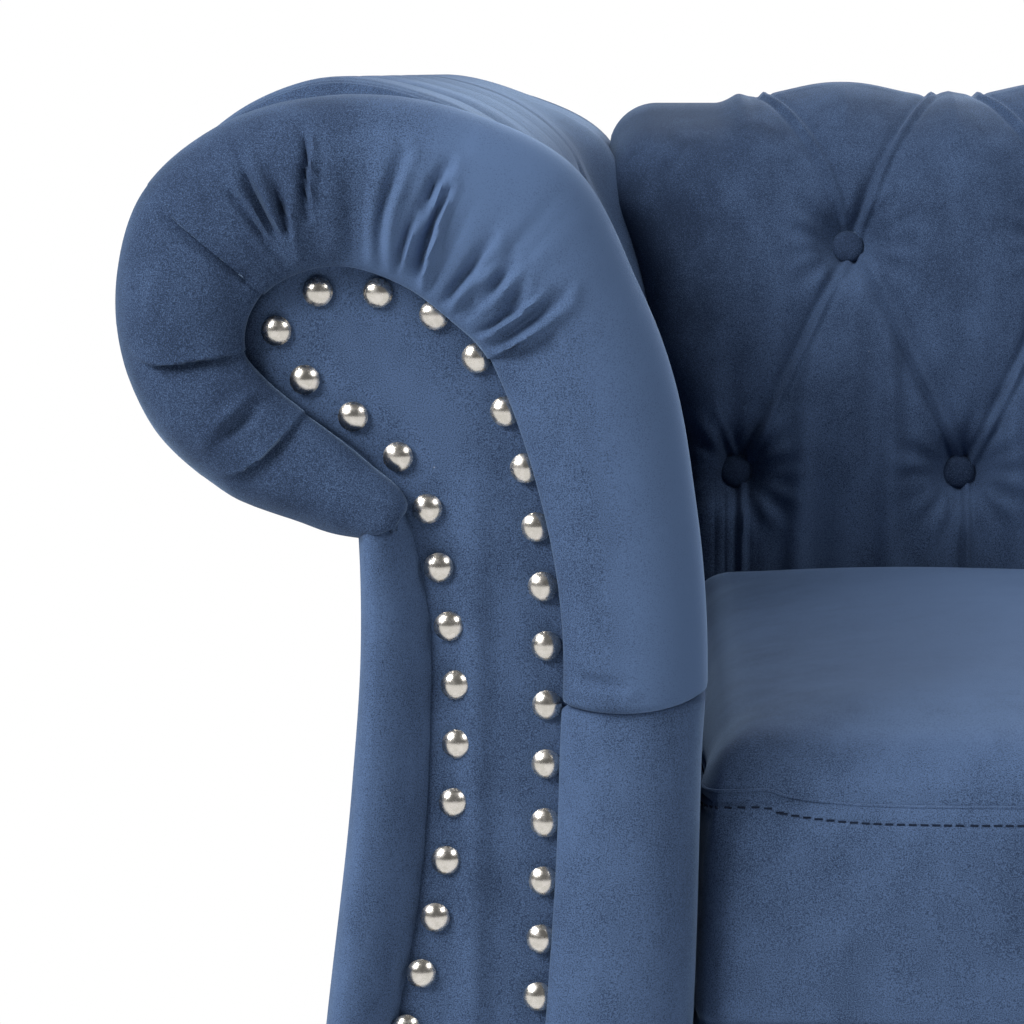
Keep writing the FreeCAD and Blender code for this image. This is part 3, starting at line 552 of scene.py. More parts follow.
crown = FACING_CROWN * np.sin(math.pi * share)
turned = EDGE_TURN * np.exp(-(1 - share) / 0.05)
front = facing_low.y + FACING_SET + NAIL_DENT * np.clip(dents, 0, 1) + turned - upright - crown
facing = panel_grid("left_facing_panel", in_arm(spot[..., 0], front, spot[..., 1]), facing_high.y)
arm_pair(facing, "blue_velvet", "velvet", "facing_panel", ["facing"])


# Arm nails: pressed nickel-plated domes, hammered in round both edges of each facing.
# Each dome stands on a rolled rim, and its plating is polished with a few soft scuffs.
nickel = start_finish("polished_nickel")
scuff = object_place(nickel).noise(0.003, 3.0).between(0.35, 0.75)
nickel_tone = scuff.tint((0.60, 0.57, 0.52, 1), (0.75, 0.71, 0.66, 1))
end_finish(nickel, {"Base Color": nickel_tone, "Metallic": 1.0, "Roughness": scuff * 0.10 + 0.22})
NAIL_RADIUS = 0.0063
NAIL_DOME = 0.0031
NAIL_SKIRT = 0.0030
NAIL_RIM = 0.90
FACING_FRONT = (math.pi / 2, 0, 0)
nail_curve = (NAIL_RADIUS**2 + NAIL_DOME**2) / (2 * NAIL_DOME)
bpy.ops.object.select_all(action="DESELECT")
bpy.ops.mesh.primitive_uv_sphere_add(segments=28, ring_count=24, radius=nail_curve, rotation=FACING_FRONT)
dome = bpy.context.object
bpy.ops.object.transform_apply(location=True, rotation=True, scale=True)
bpy.ops.object.mode_set(mode="EDIT")
bpy.ops.mesh.select_all(action="SELECT")
cut = (0, -(nail_curve - NAIL_DOME), 0)
bpy.ops.mesh.bisect(plane_co=cut, plane_no=(0, 1, 0), use_fill=False, clear_outer=True)
bpy.ops.mesh.select_all(action="SELECT")
bpy.ops.mesh.region_to_loop()
bpy.ops.mesh.extrude_edges_move(TRANSFORM_OT_translate={"value": (0, NAIL_SKIRT, 0)})
bpy.ops.transform.resize(value=(NAIL_RIM, 1, NAIL_RIM))
bpy.ops.mesh.edge_face_add()
bpy.ops.object.mode_set(mode="OBJECT")
bpy.ops.object.shade_smooth_by_angle(angle=math.radians(50))


def copies(piece, name, places):
    """Copies of one piece at each of the given matrices, joined under one name."""
    made = [twin(piece) for _ in places]
    for other, matrix in zip(made, places):
        other.data.transform(matrix)
    bpy.data.objects.remove(piece)
    pick(*made)
    bpy.ops.object.join()
    made[0].name = name
    made[0].data.name = name
    return made[0]


nail_seat = facing_low.y + nail_curve - NAIL_DOME
nail_heads = copies(dome, "left_arm_nail_heads", [Matrix.Translation((x, nail_seat, z)) for x, _, z in nails])
arm_pair(nail_heads, "polished_nickel", "nickel", "arm_nail_heads", ["nails"])


# Arm covers: velvet drawn over the roll and the inside of each arm, buttoned inside and gathered in front.
# Three folded pleats and many small gathers take up its fullness where it tucks in behind the facing.
BORDER = (
    ((0.0635, 0.450), (0.000, 0.452)),
    ((0.0675, 0.512), (0.005, 0.530)),
    ((0.096, 0.596), (0.030, 0.625)),
    ((0.110, 0.609), (0.056, 0.673)),
    ((0.127, 0.622), (0.098, 0.696)),
    ((0.153, 0.631), (0.158, 0.704)),
    ((0.171, 0.628), (0.206, 0.692)),
    ((0.184, 0.620), (0.240, 0.663)),
    ((0.1905, 0.610), (0.2505, 0.630)),
    ((0.1915, 0.598), (0.2495, 0.597)),
    ((0.183, 0.587), (0.236, 0.564)),
    ((0.170, 0.576), (0.208, 0.538)),
    ((0.142, 0.553), (0.174, 0.524)),
    ((0.1265, 0.538), (0.154, 0.5185)),
    ((0.1245, 0.5285), (0.138, 0.5175)),
)
DART, FIRST_PLEAT, SECOND_PLEAT, THIRD_PLEAT = 2, 7, 9, 11
BUTTON_GAP = 0.1333
ROW_GAP = 0.142
UPPER_ROW = 0.6165
ARM_UPPER_FIRST = -0.317
VALLEY_Y = -0.372
PILLOW_DEPTH = 0.0075
PILLOW_REACH = 0.05
BARE_REACH = 0.014
CREASE_DEPTH = 0.0045
CREASE_ROUND = 0.0010
CREASE_WIDTH = 0.0018
LIP_RISE = 0.0025
LIP_AT = 0.0038
LIP_WIDTH = 0.0021
UNDER_DEPTH = 0.0020
UNDER_AT = 0.0076
UNDER_WIDTH = 0.0015
RIB_DEPTH = 0.0015
RIB_WIDTH = 0.0018
DIMPLE_DEPTH = 0.0185
DIMPLE_WIDTH = 0.0185
WRINKLE_RISE = 0.0010
WRINKLE_AT = 0.029
WRINKLE_WIDTH = 0.012


def crowded(length, step, places, fine, reach):
    """Stations along a length, a step apart, but crowded together near the given places."""
    along = np.linspace(0, length, 4000)
    density = 1 / step + sum((1 / fine - 1 / step) * np.exp(-(((along - p) / reach) ** 2)) for p in places)
    count = np.concatenate([[0], np.cumsum((density[1:] + density[:-1]) / 2 * np.diff(along))])
    return np.interp(np.linspace(0, count[-1], round(count[-1])), count, along)


def rolled_front(edge, contour, crest, tuck, side, lean, overhang, rows, run):
    """A padded front: from its tuck under its overhang, over its crest to the side, then back along the arm.
    With no overhang it rises softly from its tuck instead."""
    half = np.linspace(0, math.pi / 2, rows)
    power = 2 / 2.3
    rise = np.sin(half) ** power
    reach = np.cos(half) ** power
    undercut = overhang * np.clip(1 - half / 0.6, 0, 1) ** 2
    lay = 1 - half / (math.pi / 2)
    rise_in, reach_in = (rise, reach) if overhang else (1 - lay**2, lay)
    share = np.concatenate([lean - lean * reach_in + undercut, (lean + (1 - lean) * reach)[::-1][1:]])
    depth = np.concatenate([tuck * (1 - rise_in), (side * (1 - rise))[::-1][1:]])
    spot = edge[None] + (contour - edge)[None] * share[:, None, None]
    lobe = in_arm(spot[..., 0], crest + depth[:, None], spot[..., 1])
    back = in_arm(contour[None, :, 0], run[:, None], contour[None, :, 1])
    return np.concatenate([lobe, back])


def outward(base, inside):
    """Unit normals of a surface of rows and columns, pointing away from the inside place."""
    normal = np.cross(np.gradient(base, axis=0), np.gradient(base, axis=1))
    normal /= np.maximum(np.linalg.norm(normal, axis=2, keepdims=True), 1e-12)
    facing_out = np.sum(normal * (base - np.array(inside)))
    return normal if facing_out > 0 else -normal


def ends_of(base, axis):
    """Distance of each point from the first and the last point of its row or column, along the surface."""
    steps = np.linalg.norm(np.diff(base, axis=axis), axis=2)
    first = np.concatenate([np.zeros_like(np.take(steps, [0], axis)), np.cumsum(steps, axis)], axis)
    return first, np.take(first, [-1], axis) - first


def beside(spot, course):
    """Signed distance of each spot from a course, left of it positive, and its share of the course."""
    line = smooth_curve(course, 48) if len(course) > 2 else np.linspace(course[0], course[1], 48)
    gap = spot[..., None, :] - line
    nearest = np.argmin(np.sum(gap**2, axis=-1), axis=-1)
    tangent = np.gradient(line, axis=0)
    tangent /= np.linalg.norm(tangent, axis=1, keepdims=True)
    offset = np.take_along_axis(gap, nearest[..., None, None], axis=-2)[..., 0, :]
    way = tangent[nearest]
    cross = way[..., 0] * offset[..., 1] - way[..., 1] * offset[..., 0]
    distance = np.linalg.norm(offset, axis=-1)
    return distance * np.where(cross >= 0, 1, -1), nearest / (len(line) - 1)


def step_up(value, low, high):
    """Rises smoothly from 0 at low to 1 at high."""
    share = np.clip((value - low) / (high - low), 0, 1)
    return share * share * (3 - 2 * share)


def folded_pleat(spot, course, over, depth, lip):
    """A folded pleat: the cloth on the over side laps the other, which drops beneath its edge."""
    distance, share = beside(spot, course)
    side = distance * over
    strength = 0.25 + 0.75 * np.sin(math.pi * np.clip(share, 0.05, 0.95)) ** 0.8
    under = depth * np.exp(np.minimum(side, 0) / 0.008)
    lap = lip * np.exp(-np.maximum(side, 0) / 0.006)
    blend = step_up(side, -0.0004, 0.0004)
    hollow = 0.0012 * np.exp(-np.abs(side) / 0.012)
    strength *= 1 - 0.8 * step_up(share, 0.78, 1.0)
    return strength * (lap * blend - under * (1 - blend) - hollow)


def soft_fold(spot, course, width, depth):
    """A soft furrow that fades at both ends, with a low ridge beside it."""
    distance, share = beside(spot, course)
    fade = np.sin(math.pi * np.clip(share, 0.08, 0.92)) ** 0.7
    furrow = np.exp(-((distance / width) ** 2))
    ridge = np.exp(-(((distance - 1.7 * width) / width) ** 2))
    return depth * fade * (0.7 * ridge - furrow)


def tufted(along, up, first, last, spread, part):
    """Height of buttoned velvet: pillows that fall to the pleats between buttons, each pleat with a lip.
    along is measured from a button of the upper row, up from that row. Slanted pleats end at first and last.
    Over the part above the upper row, the two pleats of a button spread to each side of it."""
    half = BUTTON_GAP / 2
    u = along / half
    v = np.clip(-up / ROW_GAP, 0, 1)
    slant = 1 / math.hypot(1 / half, 1 / ROW_GAP)
    straight = step_up(-up / ROW_GAP, 0.96, 1.12)
    beyond = np.maximum(first - along, along - last)
    bare = step_up(beyond + BARE_REACH * (up > 0), 0, BARE_REACH) * (1 - straight)
    aside = np.abs(u / 2 - np.round(u / 2)) * 2 * half
    parted = spread * np.clip(up / part, 0, 1)
    above = (aside - parted) * np.where(up < part, math.cos(math.atan2(spread, part)), 1)
    meeting = step_up(up, 0.9 * part, 1.3 * part) * (spread > 0.99 * half)
    fade = np.where(up > 0, 0.5 - 0.15 * step_up(up, 0.06, 0.15), 1 - 0.45 * straight)
    pillow = 1
    pleat = 0
    for way in (1, -1):
        e = (u - way * v) / 2
        below = (e - np.round(e)) * 2 * slant
        offset = np.where(up > 0, above, below)
        over = np.where(up > 0, above * np.sign(u / 2 - np.round(u / 2)), below)
        rise = 1 - (1 - np.clip(np.abs(offset) / PILLOW_REACH, 0, 1)) ** 2
        pillow = pillow * (rise + (1 - rise) * bare)
        crease = -CREASE_DEPTH * np.exp(-np.sqrt(offset**2 + CREASE_ROUND**2) / CREASE_WIDTH)
        lip = LIP_RISE * np.exp(-(((over - LIP_AT) / LIP_WIDTH) ** 2))
        second = -UNDER_DEPTH * np.exp(-np.abs(over - UNDER_AT) / UNDER_WIDTH)
        pleat = pleat + (crease + lip + second) * (1 - bare) * fade
    odd = np.abs((u + 1) / 2 - np.round((u + 1) / 2)) * 2 * half
    small = np.exp(-np.abs(odd - 0.0065) / RIB_WIDTH) + 0.7 * np.exp(-np.abs(odd - 0.0125) / RIB_WIDTH)
    ribs = -RIB_DEPTH * small * np.maximum(straight, meeting)
    return PILLOW_DEPTH * (pillow - 1) + pleat + ribs


def button_dimples(along, up, buttons, seed):
    """Deep round dimples at the buttons, with short wrinkles that spread from them."""
    draw = np.random.default_rng(seed)
    height = np.zeros(np.broadcast(along, up).shape)
    for x, y in buttons:
        dx, dy = along - x, up - y
        away = np.hypot(dx, dy)
        turn = np.arctan2(dy, dx)
        count = draw.integers(11, 16)
        phase = draw.uniform(0, 2 * math.pi, 2)
        spread = np.cos(count * turn + phase[0]) + 0.6 * np.cos((count - 4) * turn + phase[1])
        height -= DIMPLE_DEPTH * np.exp(-((away / DIMPLE_WIDTH) ** 2.2))
        height += WRINKLE_RISE * spread * np.exp(-(((away - WRINKLE_AT) / WRINKLE_WIDTH) ** 2))
    return height


edge, contour = (np.array(line) for line in zip(*BORDER))
middle_line = (edge + contour) / 2
knots = reach_along(middle_line)
stations = crowded(knots[-1], 0.0016, knots[[DART, FIRST_PLEAT, SECOND_PLEAT, THIRD_PLEAT]], 0.0006, 0.006)
edge_line = curve_at(knots, edge, stations)
contour_line = curve_at(knots, contour, stations)
TUCK, SIDE, LEAN, OVERHANG = 0.022, 0.042, 0.42, 0.07
run_length = arm_high.y - (FRONT_Y + SIDE)
run = FRONT_Y + SIDE + crowded(run_length, 0.0036, [VALLEY_Y - FRONT_Y - SIDE], 0.0014, 0.012)[1:]
base = rolled_front(edge_line, contour_line, FRONT_Y, TUCK, SIDE, LEAN, OVERHANG, rows=32, run=run)
normals = outward(base, (INNER_X - 0.12, 0, 0.6))
spot = np.stack([INNER_X - base[..., 0], base[..., 2]], axis=-1)
y = base[..., 1]

PLEATS = (
    ([(0.187, 0.623), (0.201, 0.636), (0.213, 0.646), (0.225, 0.656), (0.2335, 0.664)], 1),
    ([(0.191, 0.599), (0.201, 0.597), (0.213, 0.595), (0.227, 0.593), (0.234, 0.593), (0.240, 0.597)], 1),
    ([(0.1705, 0.571), (0.176, 0.565), (0.184, 0.557), (0.192, 0.550), (0.199, 0.5465), (0.204, 0.5455)], 1),
    ([(0.0935, 0.5945), (0.084, 0.600), (0.074, 0.606), (0.064, 0.611)], -1),
)
GATHERS = (
    ([(0.175, 0.635), (0.180, 0.647), (0.185, 0.6575), (0.192, 0.673), (0.195, 0.682)], 0.0028, 0.0016),
    ([(0.177, 0.634), (0.189, 0.653), (0.203, 0.671)], 0.0022, 0.0012),
    ([(0.173, 0.638), (0.176, 0.655), (0.182, 0.676)], 0.0020, 0.0010),
    ([(0.131, 0.629), (0.127, 0.643), (0.120, 0.660)], 0.0020, 0.0012),
    ([(0.112, 0.615), (0.101, 0.631), (0.090, 0.645)], 0.0022, 0.0012),
    ([(0.101, 0.604), (0.087, 0.612), (0.072, 0.624)], 0.0020, 0.0013),
    ([(0.1755, 0.650), (0.1765, 0.672)], 0.0030, 0.0008),
    ([(0.166, 0.654), (0.167, 0.670), (0.1665, 0.681), (0.1685, 0.693)], 0.0018, 0.0015),
    ([(0.137, 0.634), (0.137, 0.645), (0.1345, 0.660), (0.1305, 0.671), (0.1265, 0.681)], 0.0030, 0.0013),
    ([(0.1225, 0.625), (0.120, 0.635), (0.117, 0.645), (0.1125, 0.657), (0.108, 0.667)], 0.0020, 0.0019),
    ([(0.119, 0.654), (0.115, 0.666), (0.108, 0.676)], 0.0026, 0.0014),
    ([(0.1015, 0.627), (0.0905, 0.638)], 0.0030, 0.0012),
    ([(0.093, 0.622), (0.083, 0.634)], 0.0030, 0.0012),
    ([(0.0845, 0.616), (0.0785, 0.626)], 0.0035, 0.0012),
    ([(0.090, 0.602), (0.077, 0.611), (0.062, 0.622)], 0.0035, 0.0014),
    ([(0.187, 0.577), (0.204, 0.561)], 0.0035, 0.0011),
    ([(0.159, 0.658), (0.1475, 0.664)], 0.0012, 0.0004),
    ([(0.056, 0.4635), (0.037, 0.4605)], 0.0030, 0.0009),
)
PLEAT_DEPTH = 0.0042
PLEAT_LIP = 0.0016
SMALL_GATHERS = (26, 0.004, 0.004, (0.0016, 0.0034), (0.35, 0.75), (-0.0016, 0.0010), 3)
BROAD_GATHERS = (12, 0.010, 0.002, (0.0040, 0.0075), (0.55, 0.95), (-0.0022, 0.0022), 4)
front_part = 1 - step_up(y, FRONT_Y + 0.036, FRONT_Y + 0.054)
lobe_width = np.linalg.norm(contour_line - edge_line, axis=1)[None]
lobe_place = np.linalg.norm(spot - edge_line[None], axis=2) / lobe_width
drawn = front_part * step_up(lobe_place, 0.035, 0.16)
height = np.zeros(y.shape)
for course, over in PLEATS:
    height += (0.4 * front_part + 0.6 * drawn) * folded_pleat(spot, course, over, PLEAT_DEPTH, PLEAT_LIP)
for course, width, depth in GATHERS:
    height += drawn * soft_fold(spot, course, 0.85 * width, 3.2 * depth)
draw = np.random.default_rng(8)
for count, from_dart, from_pleat, widths, lengths, depths, power in (SMALL_GATHERS, BROAD_GATHERS):
    for station in draw.uniform(knots[DART] + from_dart, knots[FIRST_PLEAT] - from_pleat, count):
        width = draw.uniform(*widths)
        length = draw.uniform(*lengths)
        depth = draw.uniform(*depths)
        narrow = np.exp(-(((stations - station) / width) ** 2))[None]
        height += drawn * depth * (narrow * np.exp(-((lobe_place / length) ** power)))

ARM_COLUMNS = 4
LOBE_RISE = 0.0088
WAIST = 0.018
VALLEY_DEPTH = 0.004
VALLEY_WIDTH = 0.006
DROOP = 0.003
contour_reach = reach_along(contour_line)
inner_side = np.argmax(contour_line[:, 1])
row_station = np.interp(UPPER_ROW, contour_line[:inner_side, 1], contour_reach[:inner_side])
up = np.broadcast_to(contour_reach - row_station, y.shape)
front_stretch = (BUTTON_GAP / 2) / (ARM_UPPER_FIRST - VALLEY_Y)
along = y - ARM_UPPER_FIRST
along = np.where(along < 0, along * front_stretch, along)
arm_uppers = [(i * BUTTON_GAP, 0) for i in range(ARM_COLUMNS)]
arm_lowers = [((i + 0.5) * BUTTON_GAP, -ROW_GAP) for i in range(ARM_COLUMNS)]
buttoned_part = step_up(y, VALLEY_Y - 0.006, VALLEY_Y + 0.004)
roll_part = step_up(up, 0.11, 0.19)
tufts = tufted(along, up, -0.001, 3.5 * BUTTON_GAP, BUTTON_GAP / 2, 0.07)
tufts *= 1 - 0.75 * step_up(along, 0.09, 0.12) * step_up(up, 0.03, 0.07)
tufts += button_dimples(along, up, arm_uppers + arm_lowers, 3)
lobes = LOBE_RISE * roll_part * (1 - step_up(up, 0.17, 0.255))
drawn_in = WAIST * step_up(up, -0.15, -0.06) * (1 - step_up(up, 0.04, 0.13)) * (1 - step_up(y, 0.20, 0.26))
height += buttoned_part * (tufts + lobes - drawn_in)
height -= VALLEY_DEPTH * np.exp(-np.abs(y - VALLEY_Y) / VALLEY_WIDTH) * step_up(up, -0.16, 0.05)
seam_end, neck_end = ends_of(base, 1)
rear_end = ends_of(base, 0)[1]
height -= rolled(seam_end, 0.003) + rolled(neck_end, 0.008) + rolled(rear_end, 0.016)
cover = base + normals * height[..., None]
lobe_share = np.clip((spot[..., 0] - contour[0, 0]) / (edge[0, 0] - contour[0, 0]), 0, 1)
droop = DROOP * np.sin(math.pi * lobe_share) * np.exp(-seam_end / 0.012) * front_part
cover[..., 2] -= droop
inner_wall = in_arm(edge_line[None, :, 0], np.array([[arm_high.y]]), edge_line[None, :, 1])
arm_cover = closed_grid("left_arm_velvet", np.concatenate([cover, inner_wall, cover[:1]]))
ARM_MIDDLE = (0.984, 0.612)


def arm_front_painted_light(place):
    """Painted light and shade on the arm's front: lighter on the seat's side of the scroll, most over the top
    and the inside, darker on the rest.
    """
    across = abs(place.axis(0))
    height = place.axis(2)
    out = across - ARM_MIDDLE[0]
    up = height - ARM_MIDDLE[1]
    inner = (out * -1) / place.maths("SQRT", out * out + up * up)
    seat_side = 1 - across.between(0.83, 0.89)
    lighter = inner.between(0.0, 0.8) * (height.between(0.58, 0.66) * 0.42 + seat_side * 0.60 + 0.22)
    return (1 - place.axis(1).between(-0.39, -0.35)) * (lighter - 0.20)


velvet_pile("brushed_velvet", arm_front_painted_light)
arm_pair(arm_cover, "brushed_velvet", "velvet", "arm_velvet", ["cover", "padding"])


# Lower arm covers: a separate strip of velvet on the inside and front of each arm, below the seat's seam.
# It is padded like the cover above, and its top edge is sewn up under that cover.
LOWER_EDGE = ((0.078, 0.110), (0.0715, 0.300), (0.0655, 0.400), (0.0635, 0.450))
LOWER_CONTOUR = ((0.010, 0.110), (0.006, 0.300), (0.0005, 0.452))
LOWER_INNER = 0.064
LOWER_FRONT = {"tuck": 0.020, "side": 0.040, "lean": 0.45, "overhang": 0.05, "rows": 24}


def strip_grid(name, strip, inner):
    """A strip of an arm's cover, closed by a wall that far out of the seat, inside the arm."""
    rear, fore = (in_arm(inner, strip[row, :, 1], strip[row, :, 2])[None] for row in (-1, 0))
    return closed_grid(name, np.concatenate([strip, rear, fore, strip[:1]]))


lower_rows = np.linspace(0, 1, 111)
lower_run = np.arange(FRONT_Y + 0.046, 0.24, 0.012)
lower_edge = smooth_curve(LOWER_EDGE, at=lower_rows)
lower_contour = smooth_curve(LOWER_CONTOUR, at=lower_rows)
base = rolled_front(lower_edge, lower_contour, FRONT_Y + 0.0035, run=lower_run, **LOWER_FRONT)
normals = outward(base, (INNER_X - 0.03, -0.3, 0.3))
bottom_end, top_end = ends_of(base, 1)
height = -rolled(bottom_end, 0.006) - rolled(top_end, 0.004)
height += 0.0008 * np.sin(22 * base[..., 2] + 3 * np.sin(30 * base[..., 0])) * np.clip(top_end / 0.03, 0, 1)
arm_lower = strip_grid("left_arm_lower_velvet", base + normals * height[..., None], LOWER_INNER)
arm_pair(arm_lower, "pale_velvet", "velvet", "arm_lower_velvet", ["lower_cover", "lower_padding"])


# Outside arm covers: velvet over a thin pad on the outside of each arm, from the roll down to the frame.
# It is carried round the arm's front edge in a soft roll that dies into the facing.
OUTER_EDGE = (
    (0.149, 0.110), (0.1455, 0.200), (0.132, 0.300), (0.1205, 0.365), (0.1155, 0.440), (0.116, 0.485),
    (0.126, 0.533),
)
OUTER_CONTOUR = ((0.180, 0.110), (0.164, 0.300), (0.1515, 0.412), (0.1475, 0.470), (0.1485, 0.529))
OUTER_INNER = 0.1165
OUTER_FRONT = {"tuck": 0.022, "side": 0.030, "lean": 0.72, "overhang": 0.0, "rows": 24}
OUTER_PULL = 0.0010
outer_rows = np.linspace(0, 1, 131)
outer_run = np.arange(FRONT_Y + 0.036, arm_high.y + 0.001, 0.008)
outer_edge = smooth_curve(OUTER_EDGE, at=outer_rows)
outer_contour = smooth_curve(OUTER_CONTOUR, at=outer_rows)
base = rolled_front(outer_edge, outer_contour, FRONT_Y + 0.004, run=outer_run, **OUTER_FRONT)
normals = outward(base, (INNER_X - 0.13, 0, 0.3))
bottom_end, top_end = ends_of(base, 1)
rear_end = ends_of(base, 0)[1]
height = -rolled(bottom_end, 0.006) - rolled(top_end, 0.005) - rolled(rear_end, 0.010)
pull = np.sin(34 * base[..., 1] + 2 * np.sin(14 * base[..., 2])) * np.clip(top_end / 0.1, 0, 1)
height += OUTER_PULL * pull * step_up(base[..., 1], -0.37, -0.25) * step_up(rear_end, 0, 0.06)
arm_outer = strip_grid("left_arm_outer_velvet", base + normals * height[..., None], OUTER_INNER)
arm_pair(arm_outer, "pale_velvet", "velvet", "arm_outer_velvet", ["outer_cover", "outer_padding"])


# Rear arm facings: flat velvet-covered panels that close the rear end of each arm, blind-tacked on.
# Their edges follow the arm's outline, a little inside it.
rear_low, rear_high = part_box("left_arm_rear_facing")
REAR_ROUND = 0.003
REAR_SET = 0.0002
REAR_TUCK = 0.010
REAR_IN = ((0.0004, 0.110), (0.0004, 0.300), (0.0004, 0.4555))
rear_in = np.concatenate([smooth_curve(REAR_IN, 60)[:-1], contour_line[:inner_side]])
rear_out = np.concatenate([smooth_curve(OUTER_CONTOUR, 60)[:-1], contour_line[: inner_side - 1 : -1]])


def line_at(line, reach, where):
    """The places on a line of points, each at its reach along it."""
    return np.stack([np.interp(where, reach, line[:, i]) for i in range(2)], axis=-1)


def evenly(line, count):
    """Points spaced evenly along a line of points."""
    reach = reach_along(line)
    return line_at(line, reach, np.linspace(0, reach[-1], count))


rear_in, rear_out = evenly(rear_in, 161), evenly(rear_out, 161)
share = np.linspace(0, 1, 33)[None, :, None]
spot = rear_in[:, None] + (rear_out - rear_in)[:, None] * share
face = in_arm(spot[..., 0], 0 * spot[..., 0] + rear_high.y - REAR_SET, spot[..., 1])
side_ends = ends_of(face, 1)
face[..., 1] -= rolled(np.minimum(*side_ends), REAR_ROUND)
rear_facing = panel_grid("left_rear_facing_panel", face, rear_low.y - REAR_TUCK)
arm_pair(rear_facing, "blue_velvet", "velvet", "rear_facing_panel", ["rear_facing"])


# Back: velvet over deep stuffing between the arms, buttoned in two staggered rows.
# Folded pleats run between the buttons, over the top and straight down behind the seat.
back_low, back_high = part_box("back_cover")
BACK_PROFILE = (
    (0.000, 0.290), (0.000, 0.400), (0.000, 0.456), (0.0066, 0.535), (0.0267, 0.613), (0.052, 0.671),
    (0.094, 0.698), (0.150, 0.707), (0.208, 0.689), (0.242, 0.640), (0.244, 0.600), (0.244, 0.561),
)
BACK_CELL = 44
LAST_LOWER = 6 * BUTTON_GAP
BACK_SPREAD = 0.052
END_ROUND = 0.030
END_TUCK = 0.013
END_FLAT = 0.013
RIPPLE = 0.034
RIPPLE_RISE = 0.0028
RIPPLE_REACH = 0.046
FINE_BELOW, FINE_ABOVE = 62, 69
PLAIN_BELOW, PLAIN_ABOVE = 18, 36
PROFILE_POINTS, PROFILE_FRONT = 3000, 1600
profile = smooth_curve(BACK_PROFILE, PROFILE_POINTS)
reach = reach_along(profile)
upper_reach = np.interp(UPPER_ROW, profile[:PROFILE_FRONT, 1], reach[:PROFILE_FRONT])
row_step = ROW_GAP / BACK_CELL
fine_rows = np.arange(-FINE_BELOW, FINE_ABOVE) * row_step
below_rows = np.linspace(-upper_reach, fine_rows[0], PLAIN_BELOW)[:-1]
above_rows = np.linspace(fine_rows[-1], reach[-1] - upper_reach, PLAIN_ABOVE)[1:]
up_rows = np.concatenate([below_rows, fine_rows, above_rows])
section = line_at(profile, reach, up_rows + upper_reach)
column_step = BUTTON_GAP / 2 / BACK_CELL
side_columns = round(back_high.x / column_step)
columns = np.arange(-side_columns, side_columns + 1) * column_step
arm_at = np.interp(section[:, 1], contour_line[:inner_side, 1], contour_line[:inner_side, 0])
arm_at = np.where(section[:, 1] < contour[0, 1], 0, arm_at)
tucked = END_TUCK * step_up(up_rows, -0.13, -0.06) * (1 - step_up(up_rows, 0.05, 0.12))
back_end = np.minimum(-INNER_X + arm_at + 0.004 + tucked, back_high.x + 0.002)[:, None]
spare = np.clip((np.abs(columns) - LAST_LOWER) / (columns[-1] - LAST_LOWER), 0, 1)[None]
x = np.sign(columns) * (np.minimum(np.abs(columns), LAST_LOWER) + spare * (back_end - LAST_LOWER))
base = np.stack(np.broadcast_arrays(x, back_low.y + section[:, :1], section[:, 1:]), axis=-1)
normals = outward(base, (0, back_high.y - 0.08, 0.5))
up = np.broadcast_to(up_rows[:, None], x.shape)
along = x - BUTTON_GAP / 2
back_uppers = [(i * BUTTON_GAP, 0) for i in range(-6, 6)]
back_lowers = [((i - 0.5) * BUTTON_GAP, -ROW_GAP) for i in range(-6, 7)]
height = tufted(along, up, -LAST_LOWER - BUTTON_GAP / 2, LAST_LOWER - BUTTON_GAP / 2, BACK_SPREAD, ROW_GAP)
height += button_dimples(along, up, back_uppers + back_lowers, 5)
draw = np.random.default_rng(11)
for middle, _ in back_uppers:
    strength, lean, phase, beat = draw.uniform((0.6, -0.15, -1, 0), (1.0, 0.15, 1, 6))
    aside = along - middle
    window = np.exp(-((aside / RIPPLE_REACH) ** 4)) * step_up(-up, 0.02, 0.09)
    fan = aside * (1 + 0.05 / (0.03 - np.minimum(up, 0)))
    wave = np.cos(2 * math.pi * (fan + lean * up) / RIPPLE + phase + 0.6 * np.sin(26 * up + phase))
    uneven = 0.65 + 0.35 * np.sin(95 * aside + 9 * up + beat)
    height += RIPPLE_RISE * strength * uneven * (np.abs(wave + 1) ** 1.4 - 1.2) * window
tacked = step_up(up_rows[-1] - up, 0.04, 0.16)
flatter = END_FLAT * step_up(np.abs(x), 0.782, 0.812) * step_up(up, 0.02, 0.12) * tacked
end_turn = rolled(back_end - np.abs(x), END_ROUND) * (0.06 + 0.94 * tacked)
height = height * (0.10 + 0.90 * tacked) - flatter - end_turn
back_surface = base + normals * height[..., None]
behind = np.linspace(0, 1, 6)[1:, None, None]
back_wall = back_surface[[-1]] + (back_surface[[0]] - back_surface[[-1]]) * behind
back_piece = closed_grid("back_velvet", np.concatenate([back_surface, back_wall]))


def back_painted_shade(place):
    """Painted shade on the back: darker over its upper part, with a painted shadow of the arms at its ends.
    """
    return place.axis(2).between(0.53, 0.62) * -0.12 + abs(place.axis(0)).between(0.75, 0.83) * -0.20


velvet_pile("back_pile", back_painted_shade)
dress(back_piece, "back_pile", "frame", "velvet", "back_cover", "back_padding")


# Buttons: velvet gathered over pressed button shells, drawn down into the stuffing by twine.
# Each is a low dome whose cover puckers slightly at its rim.
BUTTON_RADIUS = 0.00975
BUTTON_CROWN = 0.0045
BUTTON_DEPTH = 0.0230
BUTTON_UNDER = 0.003
PUCKERS = 12
PUCKER_DEPTH = 0.018
TANGENT_STEP = 0.002


def mesh_places(piece):
    """The places of a piece's points, one row each."""
    flat = np.zeros(len(piece.data.vertices) * 3, np.float32)
    piece.data.vertices.foreach_get("co", flat)
    return flat.reshape(-1, 3).astype(float)


